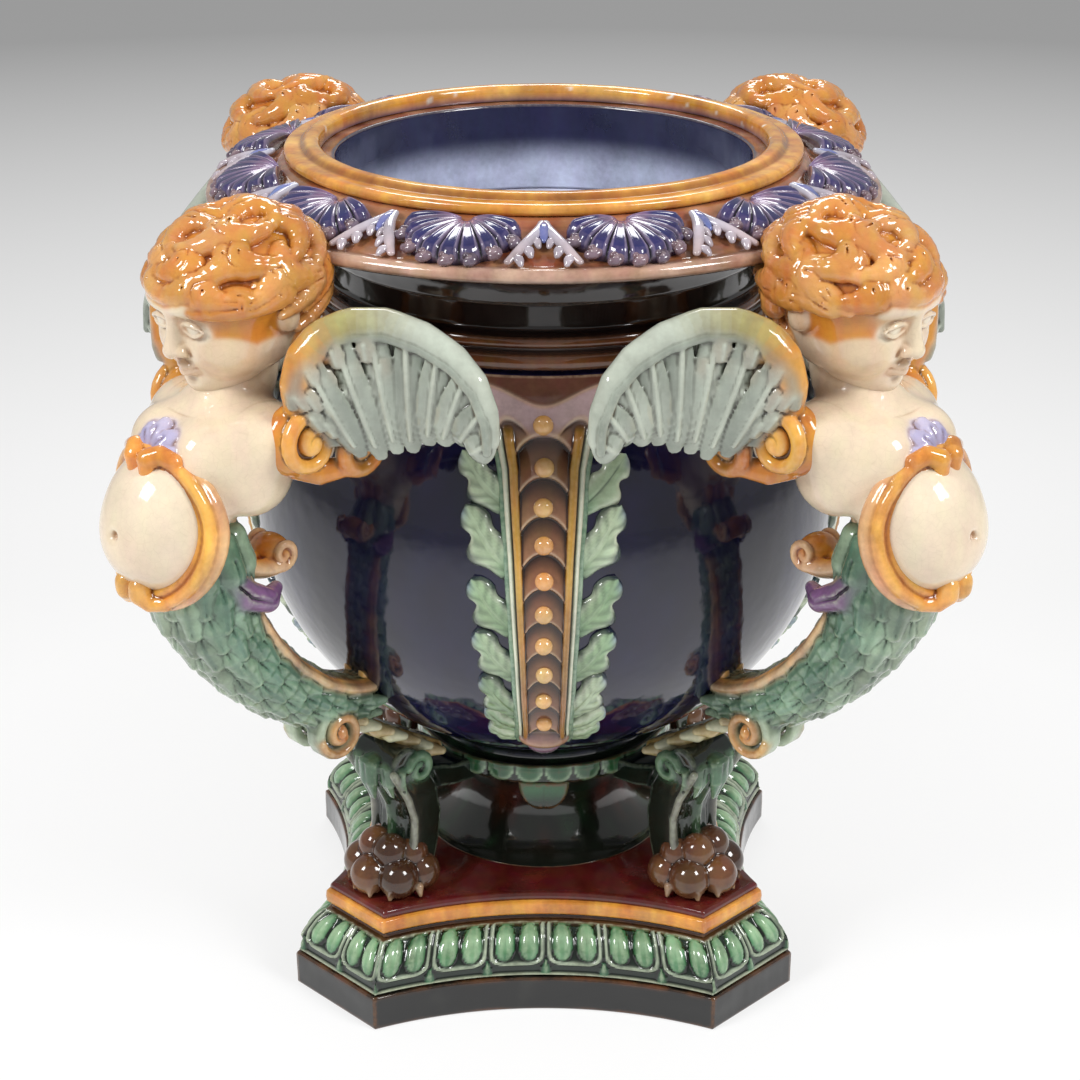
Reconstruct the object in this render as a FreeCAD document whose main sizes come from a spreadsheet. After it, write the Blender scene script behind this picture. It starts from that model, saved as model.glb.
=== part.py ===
import FreeCAD, Part
import math
import os

from FreeCAD import Placement, Rotation, Vector
import Sketcher

# A glazed earthenware jardiniere that rests on its own footed stand.
# Origin: the middle of the plinth's underside. +Z is up, and -Y is the front.
# Four winged putto handles, four lion legs and four paws stand on the diagonals,
# and four beaded straps run down the bowl between them. Sizes are in millimetres.
# Levels of the column and legs are measured up from the plinth's top, and levels of
# the jardiniere from the seat that its foot rests on, so each part moves as a whole.

SIZES = {
    # plinth: an octagon whose four long sides are hollow curves
    "plinth_half_width": 120.0,
    "plinth_flat_half": 79.6,
    "plinth_side_hollow": 17.2,
    "plinth_hollow_inset": 32.0,
    "foot_height": 17.7,
    "leaf_height": 22.3,
    "leaf_lip_height": 5.0,
    "leaf_lip_inset": 1.0,
    "leaf_top_inset": 14.0,
    "cove_height": 3.0,
    "cove_inset": 17.5,
    "band_height": 7.1,
    "band_inset": 15.2,
    "top_height": 3.8,
    "top_inset": 17.5,
    # column and the crown that the jardiniere sits in
    "column_foot_radius": 62.0,
    "column_waist_radius": 42.0,
    "column_top_radius": 56.0,
    "column_height": 45.1,
    "column_fillet": 4.0,
    "crown_radius": 66.0,
    "crown_height": 7.0,
    "crown_lip_height": 4.0,
    "crown_tongue_half_width": 12.0,
    "crown_tongue_drop": 13.0,
    "crown_tongue_thickness": 4.0,
    "crown_lip_width": 5.0,
    "seat_clearance": 1.0,
    # lion legs and paws
    "paw_reach": 101.0,
    "paw_length_radius": 18.0,
    "paw_width_radius": 19.0,
    "paw_top_radius": 24.0,
    "paw_level": 6.0,
    "toe_radius": 6.6,
    "toe_level": 5.6,
    "toe_ring_radius": 15.5,
    "toe_step": 31.0,
    "toe_count": 5,
    "leg_width": 30.0,
    "leg_knee_reach": 113.0,
    "leg_knee_level": 73.0,
    "leg_waist_reach": 97.0,
    "leg_waist_level": 42.0,
    "leg_ankle_reach": 84.0,
    "leg_ankle_level": 20.0,
    "leg_root_level": 51.0,
    "leg_heel_hollow": 17.0,
    # bowl
    "belly_radius": 138.0,
    "belly_level": 128.0,
    "bowl_wall": 8.0,
    "bowl_base_radius": 52.0,
    "bowl_foot_radius": 58.0,
    "bowl_foot_bore": 45.0,
    "bowl_foot_height": 9.0,
    "well_floor_radius": 50.0,
    "shoulder_radius": 102.0,
    "shoulder_level": 216.0,
    # neck, collar and rim
    "neck_bore": 94.0,
    "neck_radius": 98.0,
    "neck_height": 28.0,
    "lower_ring_radius": 108.0,
    "lower_ring_height": 9.0,
    "upper_ring_radius": 104.5,
    "upper_ring_height": 6.0,
    "collar_radius": 152.8,
    "collar_height": 42.0,
    "collar_lip_level": 27.0,
    "collar_root_radius": 101.0,
    "collar_hollow_radius": 114.0,
    "collar_hollow_level": 19.0,
    "rim_radius": 117.3,
    "rim_height": 8.0,
    "rim_step": 3.0,
    "rim_tread": 8.0,
    "rim_opening": 100.7,
    # shell fans on the collar
    "shell_count": 12,
    "shell_flutes": 9,
    "shell_spread": 132.0,
    "shell_margin": 5.5,
    "shell_apex_gap": 3.7,
    "flute_tip_radius": 4.6,
    "flute_root_radius": 1.2,
    "flute_lift": 0.4,
    # straps down the bowl
    "strap_proud": 5.0,
    "strap_top_level": 213.0,
    "strap_top_half_width": 34.0,
    "strap_throat_level": 190.0,
    "strap_throat_half_width": 17.0,
    "strap_waist_level": 66.0,
    "strap_waist_half_width": 9.0,
    "strap_finial_level": 44.0,
    "strap_finial_half_width": 13.0,
    "strap_tip_level": 27.0,
    "bead_radius": 5.3,
    "bead_pitch": 15.2,
    "bead_count": 10,
    "bead_top_level": 196.0,
    "leaf_proud": 3.0,
    "leaf_width": 13.0,
    "leaf_lobe_count": 6,
    # putto handle, seen in the upright plane through a diagonal
    "skull_behind": 14.0,
    "skull_rise": 67.0,
    "skull_radius": 33.0,
    "hair_behind": 5.0,
    "hair_rise": 1.0,
    "hair_length_radius": 35.0,
    "hair_width_radius": 35.0,
    "hair_height_radius": 30.5,
    "lock_radius": 9.0,
    "lock_sink": 5.5,
    "face_ahead": 20.0,
    "face_drop": 16.0,
    "face_radius": 24.0,
    "throat_radius": 15.0,
    "chest_reach": 190.0,
    "chest_level": 195.0,
    "chest_length_radius": 28.0,
    "chest_width_radius": 36.0,
    "chest_height_radius": 22.0,
    "paunch_ahead": 30.0,
    "paunch_drop": 24.0,
    "paunch_depth_radius": 24.0,
    "paunch_radius": 30.0,
    "bracket_width": 26.0,
    "bracket_height": 15.0,
    "bracket_drop": 17.0,
    # strapwork frame round the paunch, and the scroll inside the handle's loop
    "frame_radius": 30.0,
    "frame_band": 6.0,
    "frame_depth": 9.0,
    "frame_tilt": 12.0,
    "frame_ahead": 1.0,
    "knob_radius": 7.0,
    "crest_radius": 6.0,
    "scroll_radius": 27.0,
    "scroll_band": 6.0,
    "scroll_width": 22.0,
    "scroll_behind": 20.0,
    "scroll_drop": 40.0,
    "scroll_knob_radius": 6.5,
    # tail that carries the figure back down to the bowl
    "tail_root_behind": 13.0,
    "tail_root_drop": 23.0,
    "tail_root_radius": 20.0,
    "tail_bend_behind": 12.0,
    "tail_bend_drop": 36.0,
    "tail_bend_radius": 15.5,
    "tail_low_radius": 12.5,
    "tail_end_reach": 128.0,
    "tail_end_level": 52.0,
    "tail_end_radius": 9.5,
    "tail_seat_reach": 104.0,
    "volute_radius": 12.0,
    "volute_width": 22.0,
    "volute_reach": 138.0,
    "volute_level": 52.0,
    "brace_width": 14.0,
    "brace_thickness": 5.5,
    "brace_top_reach": 130.0,
    "brace_top_level": 50.0,
    "brace_foot_reach": 76.0,
    "brace_foot_level": 13.0,
    # wings
    "wing_base_behind": 12.0,
    "wing_base_offset": 31.0,
    "wing_yaw": 116.0,
    "wing_span": 88.0,
    "wing_top_rise": 60.0,
    "wing_tip_rise": 12.0,
    "wing_foot_rise": 1.0,
    "wing_thickness": 7.0,
    "wing_ridge_width": 8.0,
    "wing_ridge_proud": 2.5,
    "wing_hook_radius": 8.0,
    "feather_count": 5,
    "feather_drop": 5.0,
    "wing_volute_radius": 12.0,
    "wing_volute_rise": 9.0,
    "wing_volute_width": 13.0,
}

DIAGONALS = {"front_left": 225, "front_right": 315, "back_right": 45, "back_left": 135}
SIDES = {"front": 270, "right": 0, "back": 90, "left": 180}

PLINTH_TOP = "foot_height + leaf_height + cove_height + band_height + top_height"
SEAT = PLINTH_TOP + " + column_height + crown_height"

# Places on the figure, each measured from the breast or from the form that it grows out of.
SKULL = ("chest_reach - skull_behind", "chest_level + skull_rise")
HAIR = (SKULL[0] + " - hair_behind", SKULL[1] + " + hair_rise")
FACE = (SKULL[0] + " + face_ahead", SKULL[1] + " - face_drop")
PAUNCH = ("chest_reach + paunch_ahead", "chest_level - paunch_drop")
BRACKET_LEVEL = "chest_level - bracket_drop"
SCROLL = ("chest_reach - scroll_behind", "chest_level - scroll_drop")
TAIL_ROOT = (PAUNCH[0] + " - tail_root_behind", PAUNCH[1] + " - tail_root_drop")
TAIL_BEND = (TAIL_ROOT[0] + " - tail_bend_behind", TAIL_ROOT[1] + " - tail_bend_drop")
WING_LEVELS = {"top": "chest_level + wing_top_rise", "tip": "chest_level + wing_tip_rise",
               "foot": "chest_level + wing_foot_rise"}

doc = FreeCAD.newDocument("jardiniere_on_stand")
sheet = doc.addObject("Spreadsheet::Sheet", "Sizes")
for row, (alias, number) in enumerate(SIZES.items(), start=1):
    sheet.set(f"A{row}", alias)
    sheet.set(f"B{row}", str(number))
    sheet.setAlias(f"B{row}", alias)
doc.recompute()


# ---------------------------------------------------------------- named sizes

def size(name):
    return float(sheet.get(name))


def measure(text):
    """The value of a sum of named sizes, such as 'foot_height + 0.5*leaf_height - 2'."""
    total = 0.0
    sign = 1
    for word in text.split():
        if word in ("+", "-"):
            sign = 1 if word == "+" else -1
            continue
        factor, _, name = word.rpartition("*")
        total += sign * float(factor or 1) * (size(name) if name in SIZES else float(name))
    return total


def times(factor, text):
    """The same sum with every term scaled by a factor."""
    words = []
    for word in text.split():
        if word in ("+", "-"):
            words.append(word)
            continue
        share, star, name = word.rpartition("*")
        words.append(f"{factor * float(share or 1):.5f}*{name}" if name in SIZES else f"{factor * float(word):.5f}")
    return " ".join(words)


def expression(text):
    """The same sum as an expression on the sheet."""
    words = []
    for word in text.split():
        factor, star, name = word.rpartition("*")
        words.append(factor + star + ("Sizes." + name if name in SIZES else name))
    return " ".join(words)


def bind(thing, **properties):
    """Ties properties of an object to sums of named sizes."""
    for name, text in properties.items():
        setattr(thing, name, measure(text))
        thing.setExpression(name, expression(text))


def place(thing, x="0", y="0", z="0", turn=None):
    """Puts an object at a point whose coordinates are sums of named sizes."""
    thing.Placement = Placement(Vector(measure(x), measure(y), measure(z)), turn or Rotation())
    for axis, text in (("x", x), ("y", y), ("z", z)):
        if text != "0":
            thing.setExpression("Placement.Base." + axis, expression(text))


# ---------------------------------------------------------------- sketches and solids

def origin_plane(body, role):
    return next(f for f in body.Origin.OriginFeatures if f.Role == role)


def arc_through(start, middle, end):
    """An arc drawn anticlockwise, and which of its ends are the start and the end."""
    centre = Part.Arc(start, middle, end).toShape().Curve.Center
    anticlockwise = (middle - start).cross(end - middle).z > 0
    first, last = (start, end) if anticlockwise else (end, start)
    circle = Part.Circle(centre, Vector(0, 0, 1), (start - centre).Length)
    angles = [math.atan2(p.y - centre.y, p.x - centre.x) for p in (first, last)]
    arc = Part.ArcOfCircle(circle, angles[0], angles[1])
    return (arc, 1, 2) if anticlockwise else (arc, 2, 1)


def draw_outline(sketch, corners):
    """A closed outline. Each corner is a pair of sums of sizes, and a third item,
    'arc', marks a point that the arc between its two neighbours passes through."""
    points = [(Vector(measure(c[0]), measure(c[1]), 0), c) for c in corners]
    edges = []
    index = 0
    while index < len(points):
        start, corner = points[index]
        following = points[(index + 1) % len(points)]
        if len(following[1]) == 3:
            end = points[(index + 2) % len(points)][0]
            arc, start_end, far_end = arc_through(start, following[0], end)
            edge = sketch.addGeometry(arc, False)
            edges.append((edge, start_end, far_end, corner, following))
            index += 2
        else:
            edge = sketch.addGeometry(Part.LineSegment(start, following[0]), False)
            edges.append((edge, 1, 2, corner, None))
            index += 1
    for place_in_loop, (edge, head, tail, corner, through) in enumerate(edges):
        after = edges[(place_in_loop + 1) % len(edges)]
        sketch.addConstraint(Sketcher.Constraint("Coincident", edge, tail, after[0], after[1]))
        for kind, text in (("DistanceX", corner[0]), ("DistanceY", corner[1])):
            tie(sketch, kind, edge, head, text)
        if through:
            spot = sketch.addGeometry(Part.Point(through[0]), True)
            sketch.addConstraint(Sketcher.Constraint("PointOnObject", spot, 1, edge))
            for kind, text in (("DistanceX", through[1][0]), ("DistanceY", through[1][1])):
                tie(sketch, kind, spot, 1, text)


def tie(sketch, kind, edge, end, text):
    value = measure(text)
    number = sketch.addConstraint(Sketcher.Constraint(kind, -1, 1, edge, end, value))
    if any(word.rpartition("*")[2] in SIZES for word in text.split()):
        sketch.setExpression(f"Constraints[{number}]", expression(text))


def sketch_on(body, role, *outlines):
    sketch = body.newObject("Sketcher::SketchObject", body.Name + "_outline")
    sketch.AttachmentSupport = (origin_plane(body, role), "")
    sketch.MapMode = "FlatFace"
    for corners in outlines:
        draw_outline(sketch, corners)
    return sketch


def revolved(name, corners):
    """A body turned about the vertical axis. Corners are (radius, level)."""
    body = doc.addObject("PartDesign::Body", name)
    sketch = sketch_on(body, "XZ_Plane", corners)
    turn = body.newObject("PartDesign::Revolution", name + "_turn")
    turn.Profile = sketch
    turn.ReferenceAxis = (sketch, ["V_Axis"])
    turn.Angle = 360
    return body


def padded(name, role, thickness, *outlines, midplane=False):
    body = doc.addObject("PartDesign::Body", name)
    pad = body.newObject("PartDesign::Pad", name + "_pad")
    pad.Profile = sketch_on(body, role, *outlines)
    bind(pad, Length=thickness)
    pad.SideType = "Symmetric" if midplane else "One side"
    return body


def ellipsoid(name, x, z, length, width, height):
    solid = doc.addObject("Part::Ellipsoid", name)
    bind(solid, Radius1=height, Radius2=length, Radius3=width)
    solid.Angle1, solid.Angle2, solid.Angle3 = -90, 90, 360
    place(solid, x=x, z=z)
    return solid


def cross_cylinder(name, radius, width, x, z):
    """A cylinder whose axis lies across the handle, centred on its middle plane."""
    solid = doc.addObject("Part::Cylinder", name)
    bind(solid, Radius=radius, Height=width)
    turn = Rotation(Vector(1, 0, 0), -90)
    solid.Placement = Placement(Vector(0, 0, 0), turn)
    place(solid, x=x, y=times(-0.5, width), z=z, turn=turn)
    return solid


def fused(name, *shapes):
    joined = doc.addObject("Part::MultiFuse", name)
    joined.Shapes = list(shapes)
    return joined


def cut(name, base, *tools):
    """The base with each tool taken out of it in turn."""
    for number, tool in enumerate(tools, start=1):
        step = doc.addObject("Part::Cut", name if number == len(tools) else f"{name}_cut_{number}")
        step.Base = base
        step.Tool = tool
        base = step
    return base


def turned_copy(name, source, angle, level):
    """A copy turned about the vertical axis and lifted to its level."""
    copy = doc.addObject("Part::Feature", name)
    copy.Shape = source.Shape.copy()
    copy.Placement = Placement(Vector(0, 0, level), Rotation(Vector(0, 0, 1), angle)) * source.Placement
    return copy


pieces = {}


def keep(node, thing):
    """Marks an object as one of the finished pieces, under its node's name."""
    thing.Label = node
    pieces[node] = thing
    return thing


# ---------------------------------------------------------------- plinth

def plinth_outline(inset):
    """Chamfered square with hollow sides, drawn in from the foot by an inset."""
    half = f"plinth_half_width - {inset}"
    flat = f"plinth_flat_half - 0.26*{inset}"
    waist = f"plinth_half_width - plinth_side_hollow - {inset}"

    def minus(text):
        return "0 - " + text.replace("- ", "+ ")

    return [
        (minus(flat), minus(half)), ("0", minus(waist), "arc"), (flat, minus(half)),
        (half, minus(flat)), (waist, "0", "arc"), (half, flat),
        (flat, half), ("0", waist, "arc"), (minus(flat), half),
        (minus(half), flat), (minus(waist), "0", "arc"), (minus(half), minus(flat)),
    ]


def plinth_layer(node, level, height, inset, hollow):
    outlines = [plinth_outline(inset)]
    if hollow:
        outlines.append(plinth_outline("plinth_hollow_inset"))
    body = padded(node, "XY_Plane", height, *outlines)
    place(body, z=level)
    return keep(node, body)


plinth_layer("plinth_foot", "0", "foot_height", "0", hollow=True)
plinth_layer("plinth_cove", "foot_height + leaf_height", "cove_height", "cove_inset", hollow=True)
plinth_layer("plinth_band", "foot_height + leaf_height + cove_height", "band_height", "band_inset",
             hollow=False)
plinth_layer("plinth_top", "foot_height + leaf_height + cove_height + band_height", "top_height",
             "top_inset", hollow=False)


def leaf_moulding():
    """The sloping course that carries the leaf tongues, open underneath."""
    levels = (("foot_height", "leaf_lip_inset"), ("foot_height + leaf_lip_height", "leaf_lip_inset"),
              ("foot_height + leaf_height", "leaf_top_inset"))
    sections = []
    for number, (level, inset) in enumerate(levels):
        sketch = doc.addObject("Sketcher::SketchObject", f"leaf_section_{number}")
        draw_outline(sketch, plinth_outline(inset))
        place(sketch, z=level)
        sections.append(sketch)
    slope = doc.addObject("Part::Loft", "leaf_slope")
    slope.Sections = sections
    slope.Solid, slope.Ruled = True, True
    hollow = padded("leaf_hollow", "XY_Plane", "leaf_height", plinth_outline("plinth_hollow_inset"))
    place(hollow, z="foot_height")
    return cut("leaf_moulding", slope, hollow)


keep("leaf_moulding", leaf_moulding())


# ---------------------------------------------------------------- column and crown

column = revolved("stand_column", [
    ("0", "0"), ("column_foot_radius", "0"), ("column_foot_radius", "column_fillet"),
    ("column_waist_radius", "0.5*column_height", "arc"),
    ("column_top_radius", "column_height - column_fillet"),
    ("column_top_radius", "column_height"), ("0", "column_height"),
])
place(column, z=PLINTH_TOP)
keep("stand_column", column)

LIP_BORE = "bowl_foot_radius + seat_clearance"
crown_ring = revolved("crown_ring", [
    ("0", "0"), (f"{LIP_BORE} + crown_lip_width - 3", "0"), (f"{LIP_BORE} + crown_lip_width", "3"),
    (f"{LIP_BORE} + crown_lip_width", "crown_height + crown_lip_height"),
    (LIP_BORE, "crown_height + crown_lip_height"),
    (LIP_BORE, "crown_height"), ("0", "crown_height"),
])
tongue = padded("crown_tongue", "XZ_Plane", "crown_tongue_thickness", [
    ("0 - crown_tongue_half_width", "2"), ("0 - crown_tongue_half_width", "0"),
    ("0", "0 - crown_tongue_drop", "arc"), ("crown_tongue_half_width", "0"), ("crown_tongue_half_width", "2"),
], midplane=True)
place(tongue, y=f"0 - {LIP_BORE.replace('+', '-')} - 0.5*crown_tongue_thickness")
doc.recompute()
crown = fused("stand_crown", crown_ring,
              *[turned_copy(f"crown_tongue_{side}", tongue, angle - SIDES["front"], 0) for side, angle in SIDES.items()])
place(crown, z=PLINTH_TOP + " + column_height")
keep("stand_crown", crown)


# ---------------------------------------------------------------- lion legs and paws

def paw():
    """A rounded foot with a fan of toes, cut flat where it stands on the plinth."""
    pad = ellipsoid("paw_pad", "paw_reach", "paw_level", "paw_length_radius", "paw_width_radius",
                    "paw_top_radius")
    toes = []
    for number in range(int(size("toe_count"))):
        angle = math.radians((number - (size("toe_count") - 1) / 2) * size("toe_step"))
        toe = doc.addObject("Part::Sphere", f"toe_{number + 1}")
        bind(toe, Radius="toe_radius")
        place(toe, x=f"paw_reach + {math.cos(angle):.4f}*toe_ring_radius",
              y=f"{math.sin(angle):.4f}*toe_ring_radius", z="toe_level")
        toes.append(toe)
    ground = doc.addObject("Part::Box", "paw_ground")
    bind(ground, Length="paw_reach + 40", Width="4*paw_width_radius", Height="paw_top_radius")
    place(ground, y="0 - 2*paw_width_radius", z="0 - paw_top_radius")
    return cut("paw_shape", fused("paw_with_toes", pad, *toes), ground)


def leg(crown_in_place, foot):
    """The cabriole bracket from paw to knee, sloped on top to clear the bowl."""
    bracket = padded("leg_bracket", "XZ_Plane", "leg_width", [
        ("leg_ankle_reach", "leg_ankle_level"),
        ("leg_ankle_reach - leg_heel_hollow", "leg_ankle_level + 8", "arc"),
        ("crown_radius - 6", "leg_root_level - 3"),
        ("crown_radius - 6", "leg_root_level"),
        ("leg_knee_reach", "leg_knee_level"),
        ("leg_waist_reach", "leg_waist_level", "arc"),
        ("leg_ankle_reach + 28", "leg_ankle_level"),
    ], midplane=True)
    return cut("leg_shape", bracket, crown_in_place, foot)


crown_for_legs = revolved("crown_for_legs", [
    ("0", "column_height - 6"), (f"{LIP_BORE} + crown_lip_width", "column_height - 6"),
    (f"{LIP_BORE} + crown_lip_width", "column_height + crown_height + crown_lip_height"),
    ("0", "column_height + crown_height + crown_lip_height"),
])
paw_shape = paw()
leg_shape = leg(crown_for_legs, paw_shape)


# ---------------------------------------------------------------- bowl, neck, collar and rim
# Levels from here on are measured up from the seat.

NECK_TOP = "shoulder_level + neck_height"
COLLAR_TOP = NECK_TOP + " + collar_height"

revolved("bowl_foot", [
    ("bowl_foot_bore", "0"), ("bowl_foot_radius", "0"),
    ("bowl_foot_radius", "bowl_foot_height - 2"), ("bowl_foot_radius - 4", "bowl_foot_height"),
    ("bowl_foot_bore", "bowl_foot_height"),
])
BOWL_OUTSIDE = [
    ("bowl_base_radius", "bowl_foot_height"), ("belly_radius", "belly_level", "arc"),
    ("shoulder_radius", "shoulder_level"),
]
bowl = revolved("bowl", [("0", "bowl_foot_height")] + BOWL_OUTSIDE + [
    ("shoulder_radius - bowl_wall", "shoulder_level"),
    ("belly_radius - bowl_wall", "belly_level", "arc"),
    ("well_floor_radius", "bowl_foot_height + bowl_wall"),
    ("0", "bowl_foot_height + bowl_wall"),
])
bowl_envelope = revolved("bowl_envelope", [("0", "bowl_foot_height")] + BOWL_OUTSIDE
                         + [("0", "shoulder_level")])

NECK_OUTSIDE = [
    ("lower_ring_radius - 2", "shoulder_level"),
    ("lower_ring_radius", "shoulder_level + 0.5*lower_ring_height", "arc"),
    ("lower_ring_radius - 2", "shoulder_level + lower_ring_height"),
    ("neck_radius", f"{NECK_TOP} - upper_ring_height - 1"),
    ("upper_ring_radius - 1.5", f"{NECK_TOP} - upper_ring_height"),
    ("upper_ring_radius", f"{NECK_TOP} - 0.5*upper_ring_height", "arc"),
    ("upper_ring_radius - 1.5", NECK_TOP),
]
revolved("neck", NECK_OUTSIDE + [("neck_bore", NECK_TOP), ("neck_bore", "shoulder_level")])

COLLAR_OUTSIDE = [
    ("collar_root_radius", NECK_TOP),
    ("collar_hollow_radius", f"{NECK_TOP} + collar_hollow_level", "arc"),
    ("collar_radius - 5", f"{NECK_TOP} + collar_lip_level - 3"),
    ("collar_radius - 2", f"{NECK_TOP} + collar_lip_level - 3"),
    ("collar_radius", f"{NECK_TOP} + collar_lip_level", "arc"),
    ("collar_radius - 3", f"{NECK_TOP} + collar_lip_level + 3"),
    ("rim_radius", COLLAR_TOP),
]
revolved("shell_collar", COLLAR_OUTSIDE + [("neck_bore", COLLAR_TOP), ("neck_bore", NECK_TOP)])

revolved("rim", [
    ("rim_radius", COLLAR_TOP), ("rim_radius", f"{COLLAR_TOP} + rim_height - 2"),
    ("rim_radius - 2", f"{COLLAR_TOP} + rim_height"),
    ("rim_radius - rim_tread", f"{COLLAR_TOP} + rim_height - 1"),
    ("rim_radius - rim_tread", f"{COLLAR_TOP} + rim_height - rim_step - 1"),
    ("rim_opening", f"{COLLAR_TOP} + rim_height - rim_step - 2"),
    ("rim_opening", COLLAR_TOP),
])
for node in ("bowl_foot", "bowl", "neck", "shell_collar", "rim"):
    place(doc.getObject(node), z=SEAT)
    keep(node, doc.getObject(node))


# ---------------------------------------------------------------- shell fans on the collar

def shell_fan(collar):
    """Tapered flutes that spread from an apex by the rim, flush with the collar."""
    fall = (measure("collar_height - collar_lip_level - 3"), measure("collar_radius - 3 - rim_radius"))
    slope = Rotation(Vector(0, 1, 0), 90 + math.degrees(math.atan2(fall[0], fall[1])))
    apex_drop = size("shell_apex_gap") * fall[0] / fall[1]
    flutes = []
    for number in range(int(size("shell_flutes"))):
        share = number / (size("shell_flutes") - 1) - 0.5
        flute = doc.addObject("Part::Cone", f"flute_{number + 1}")
        bind(flute, Radius1="flute_root_radius", Radius2="flute_tip_radius", Height="collar_radius - rim_radius - shell_margin")
        spread = Rotation(Vector(1, 0, 0), share * size("shell_spread"))
        place(flute, x="rim_radius + shell_apex_gap", z=f"{COLLAR_TOP} - {apex_drop:.4f} + flute_lift", turn=slope * spread)
        flutes.append(flute)
    return cut("shell_fan", fused("shell_flutes_joined", *flutes), collar)


def ring_of(name, source, count, first_angle):
    """Copies of a piece spread evenly round the vertical axis, as one group."""
    group = doc.addObject("Part::Compound", name)
    group.Links = [turned_copy(f"{name}_{number + 1}", source, first_angle + number * 360 / count, 0)
                   for number in range(count)]
    return group


collar_local = revolved("collar_local", COLLAR_OUTSIDE + [("0", COLLAR_TOP), ("0", NECK_TOP)])
fan = shell_fan(collar_local)


# ---------------------------------------------------------------- straps down the bowl

def sleeve(name, proud):
    """The bowl's outside grown by an even amount, to carry what is laid on it."""
    return revolved(name, [
        ("0", "bowl_foot_height"), (f"bowl_base_radius + {proud}", "bowl_foot_height"),
        (f"belly_radius + {proud}", "belly_level", "arc"),
        (f"shoulder_radius + {proud}", "shoulder_level"), ("0", "shoulder_level"),
    ])


def mirrored_outline(right_side):
    """An outline drawn down its right side and back up its left."""
    left = [("0 - " + c[0].replace("+", "plus").replace("-", "+").replace("plus", "-"),) + tuple(c[1:])
            for c in reversed(right_side)]
    return right_side + left


def front_prism(name, outline):
    """An outline in the front view, carried through the front half of the bowl."""
    return padded(name, "XZ_Plane", "belly_radius + 30", outline)


def laid_on_bowl(name, outline, proud):
    common = doc.addObject("Part::Common", name + "_slice")
    common.Base = sleeve(name + "_sleeve", proud)
    common.Tool = front_prism(name + "_prism", outline)
    return cut(name, common, bowl_envelope)


def strap_outline():
    return mirrored_outline([
        ("strap_top_half_width", "strap_top_level"),
        ("strap_throat_half_width + 3", "strap_throat_level + 5", "arc"),
        ("strap_throat_half_width", "strap_throat_level - 10"),
        ("strap_waist_half_width", "strap_waist_level"),
        ("strap_finial_half_width", "strap_finial_level", "arc"),
        ("1", "strap_tip_level"),
    ])


def leaf_outline():
    """Both leaf borders, drawn as lobes beside the strap's own edges."""
    corners = []
    span = "strap_throat_level - 10 - strap_waist_level"
    count = int(size("leaf_lobe_count"))
    for number in range(2 * count + 1):
        down = number / (2 * count)
        reach = "leaf_width" if number % 2 else "0.55*leaf_width"
        edge = f"{1 - down:.4f}*strap_throat_half_width + {down:.4f}*strap_waist_half_width"
        level = f"{1 - down:.4f}*strap_throat_level - {10 * (1 - down):.4f} + {down:.4f}*strap_waist_level"
        corners.append((f"{edge} + {reach}", level) + (("arc",) if number % 2 else ()))
    return mirrored_outline(corners)


def arc_centre(radius, level, end_radius, end_level):
    """Centre radius of an arc through its widest point and one other, at the same level."""
    rise = end_level - level
    return (radius ** 2 - end_radius ** 2 - rise ** 2) / (2 * (radius - end_radius))


def beads():
    """A row of balls, evenly spaced along the strap's face."""
    reach = measure("belly_radius + strap_proud")
    middle = size("belly_level")
    inner = arc_centre(reach, middle, measure("shoulder_radius + strap_proud"), size("shoulder_level"))
    curve = reach - inner
    angle = math.asin((size("bead_top_level") - middle) / curve)
    row = []
    for number in range(int(size("bead_count"))):
        bead = doc.addObject("Part::Sphere", f"bead_{number + 1}")
        bind(bead, Radius="bead_radius")
        turn = angle - number * size("bead_pitch") / curve
        bead.Placement.Base = Vector(0, -(inner + curve * math.cos(turn)), middle + curve * math.sin(turn))
        row.append(bead)
    return row


doc.recompute()
strap_band = laid_on_bowl("strap_band", strap_outline(), "strap_proud")
strap_shape = cut("strap_shape", fused("strap_with_beads", strap_band, *beads()), bowl_envelope)
leaf_shape = cut("leaf_shape", laid_on_bowl("leaf_band", leaf_outline(), "leaf_proud"),
                 front_prism("strap_gap", strap_outline()))


# ---------------------------------------------------------------- putto handle, built along +X

def torso():
    """Chest, paunch and throat, with the bracket that runs back to the bowl."""
    chest = ellipsoid("chest", "chest_reach", "chest_level", "chest_length_radius",
                      "chest_width_radius", "chest_height_radius")
    paunch = ellipsoid("paunch", *PAUNCH, "paunch_depth_radius",
                       "paunch_radius", "paunch_radius")
    throat = doc.addObject("Part::Cylinder", "throat")
    bind(throat, Radius="throat_radius", Height="skull_rise")
    place(throat, x="chest_reach - 0.5*skull_behind", z="chest_level")
    bracket = padded("bracket", "XZ_Plane", "bracket_width", [
        ("shoulder_radius", BRACKET_LEVEL), ("chest_reach", BRACKET_LEVEL),
        ("chest_reach", BRACKET_LEVEL + " + bracket_height"),
        ("shoulder_radius", BRACKET_LEVEL + " + bracket_height"),
    ], midplane=True)
    return cut("torso_shape", fused("torso_joined", chest, paunch, throat, bracket), bowl_envelope)


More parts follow.
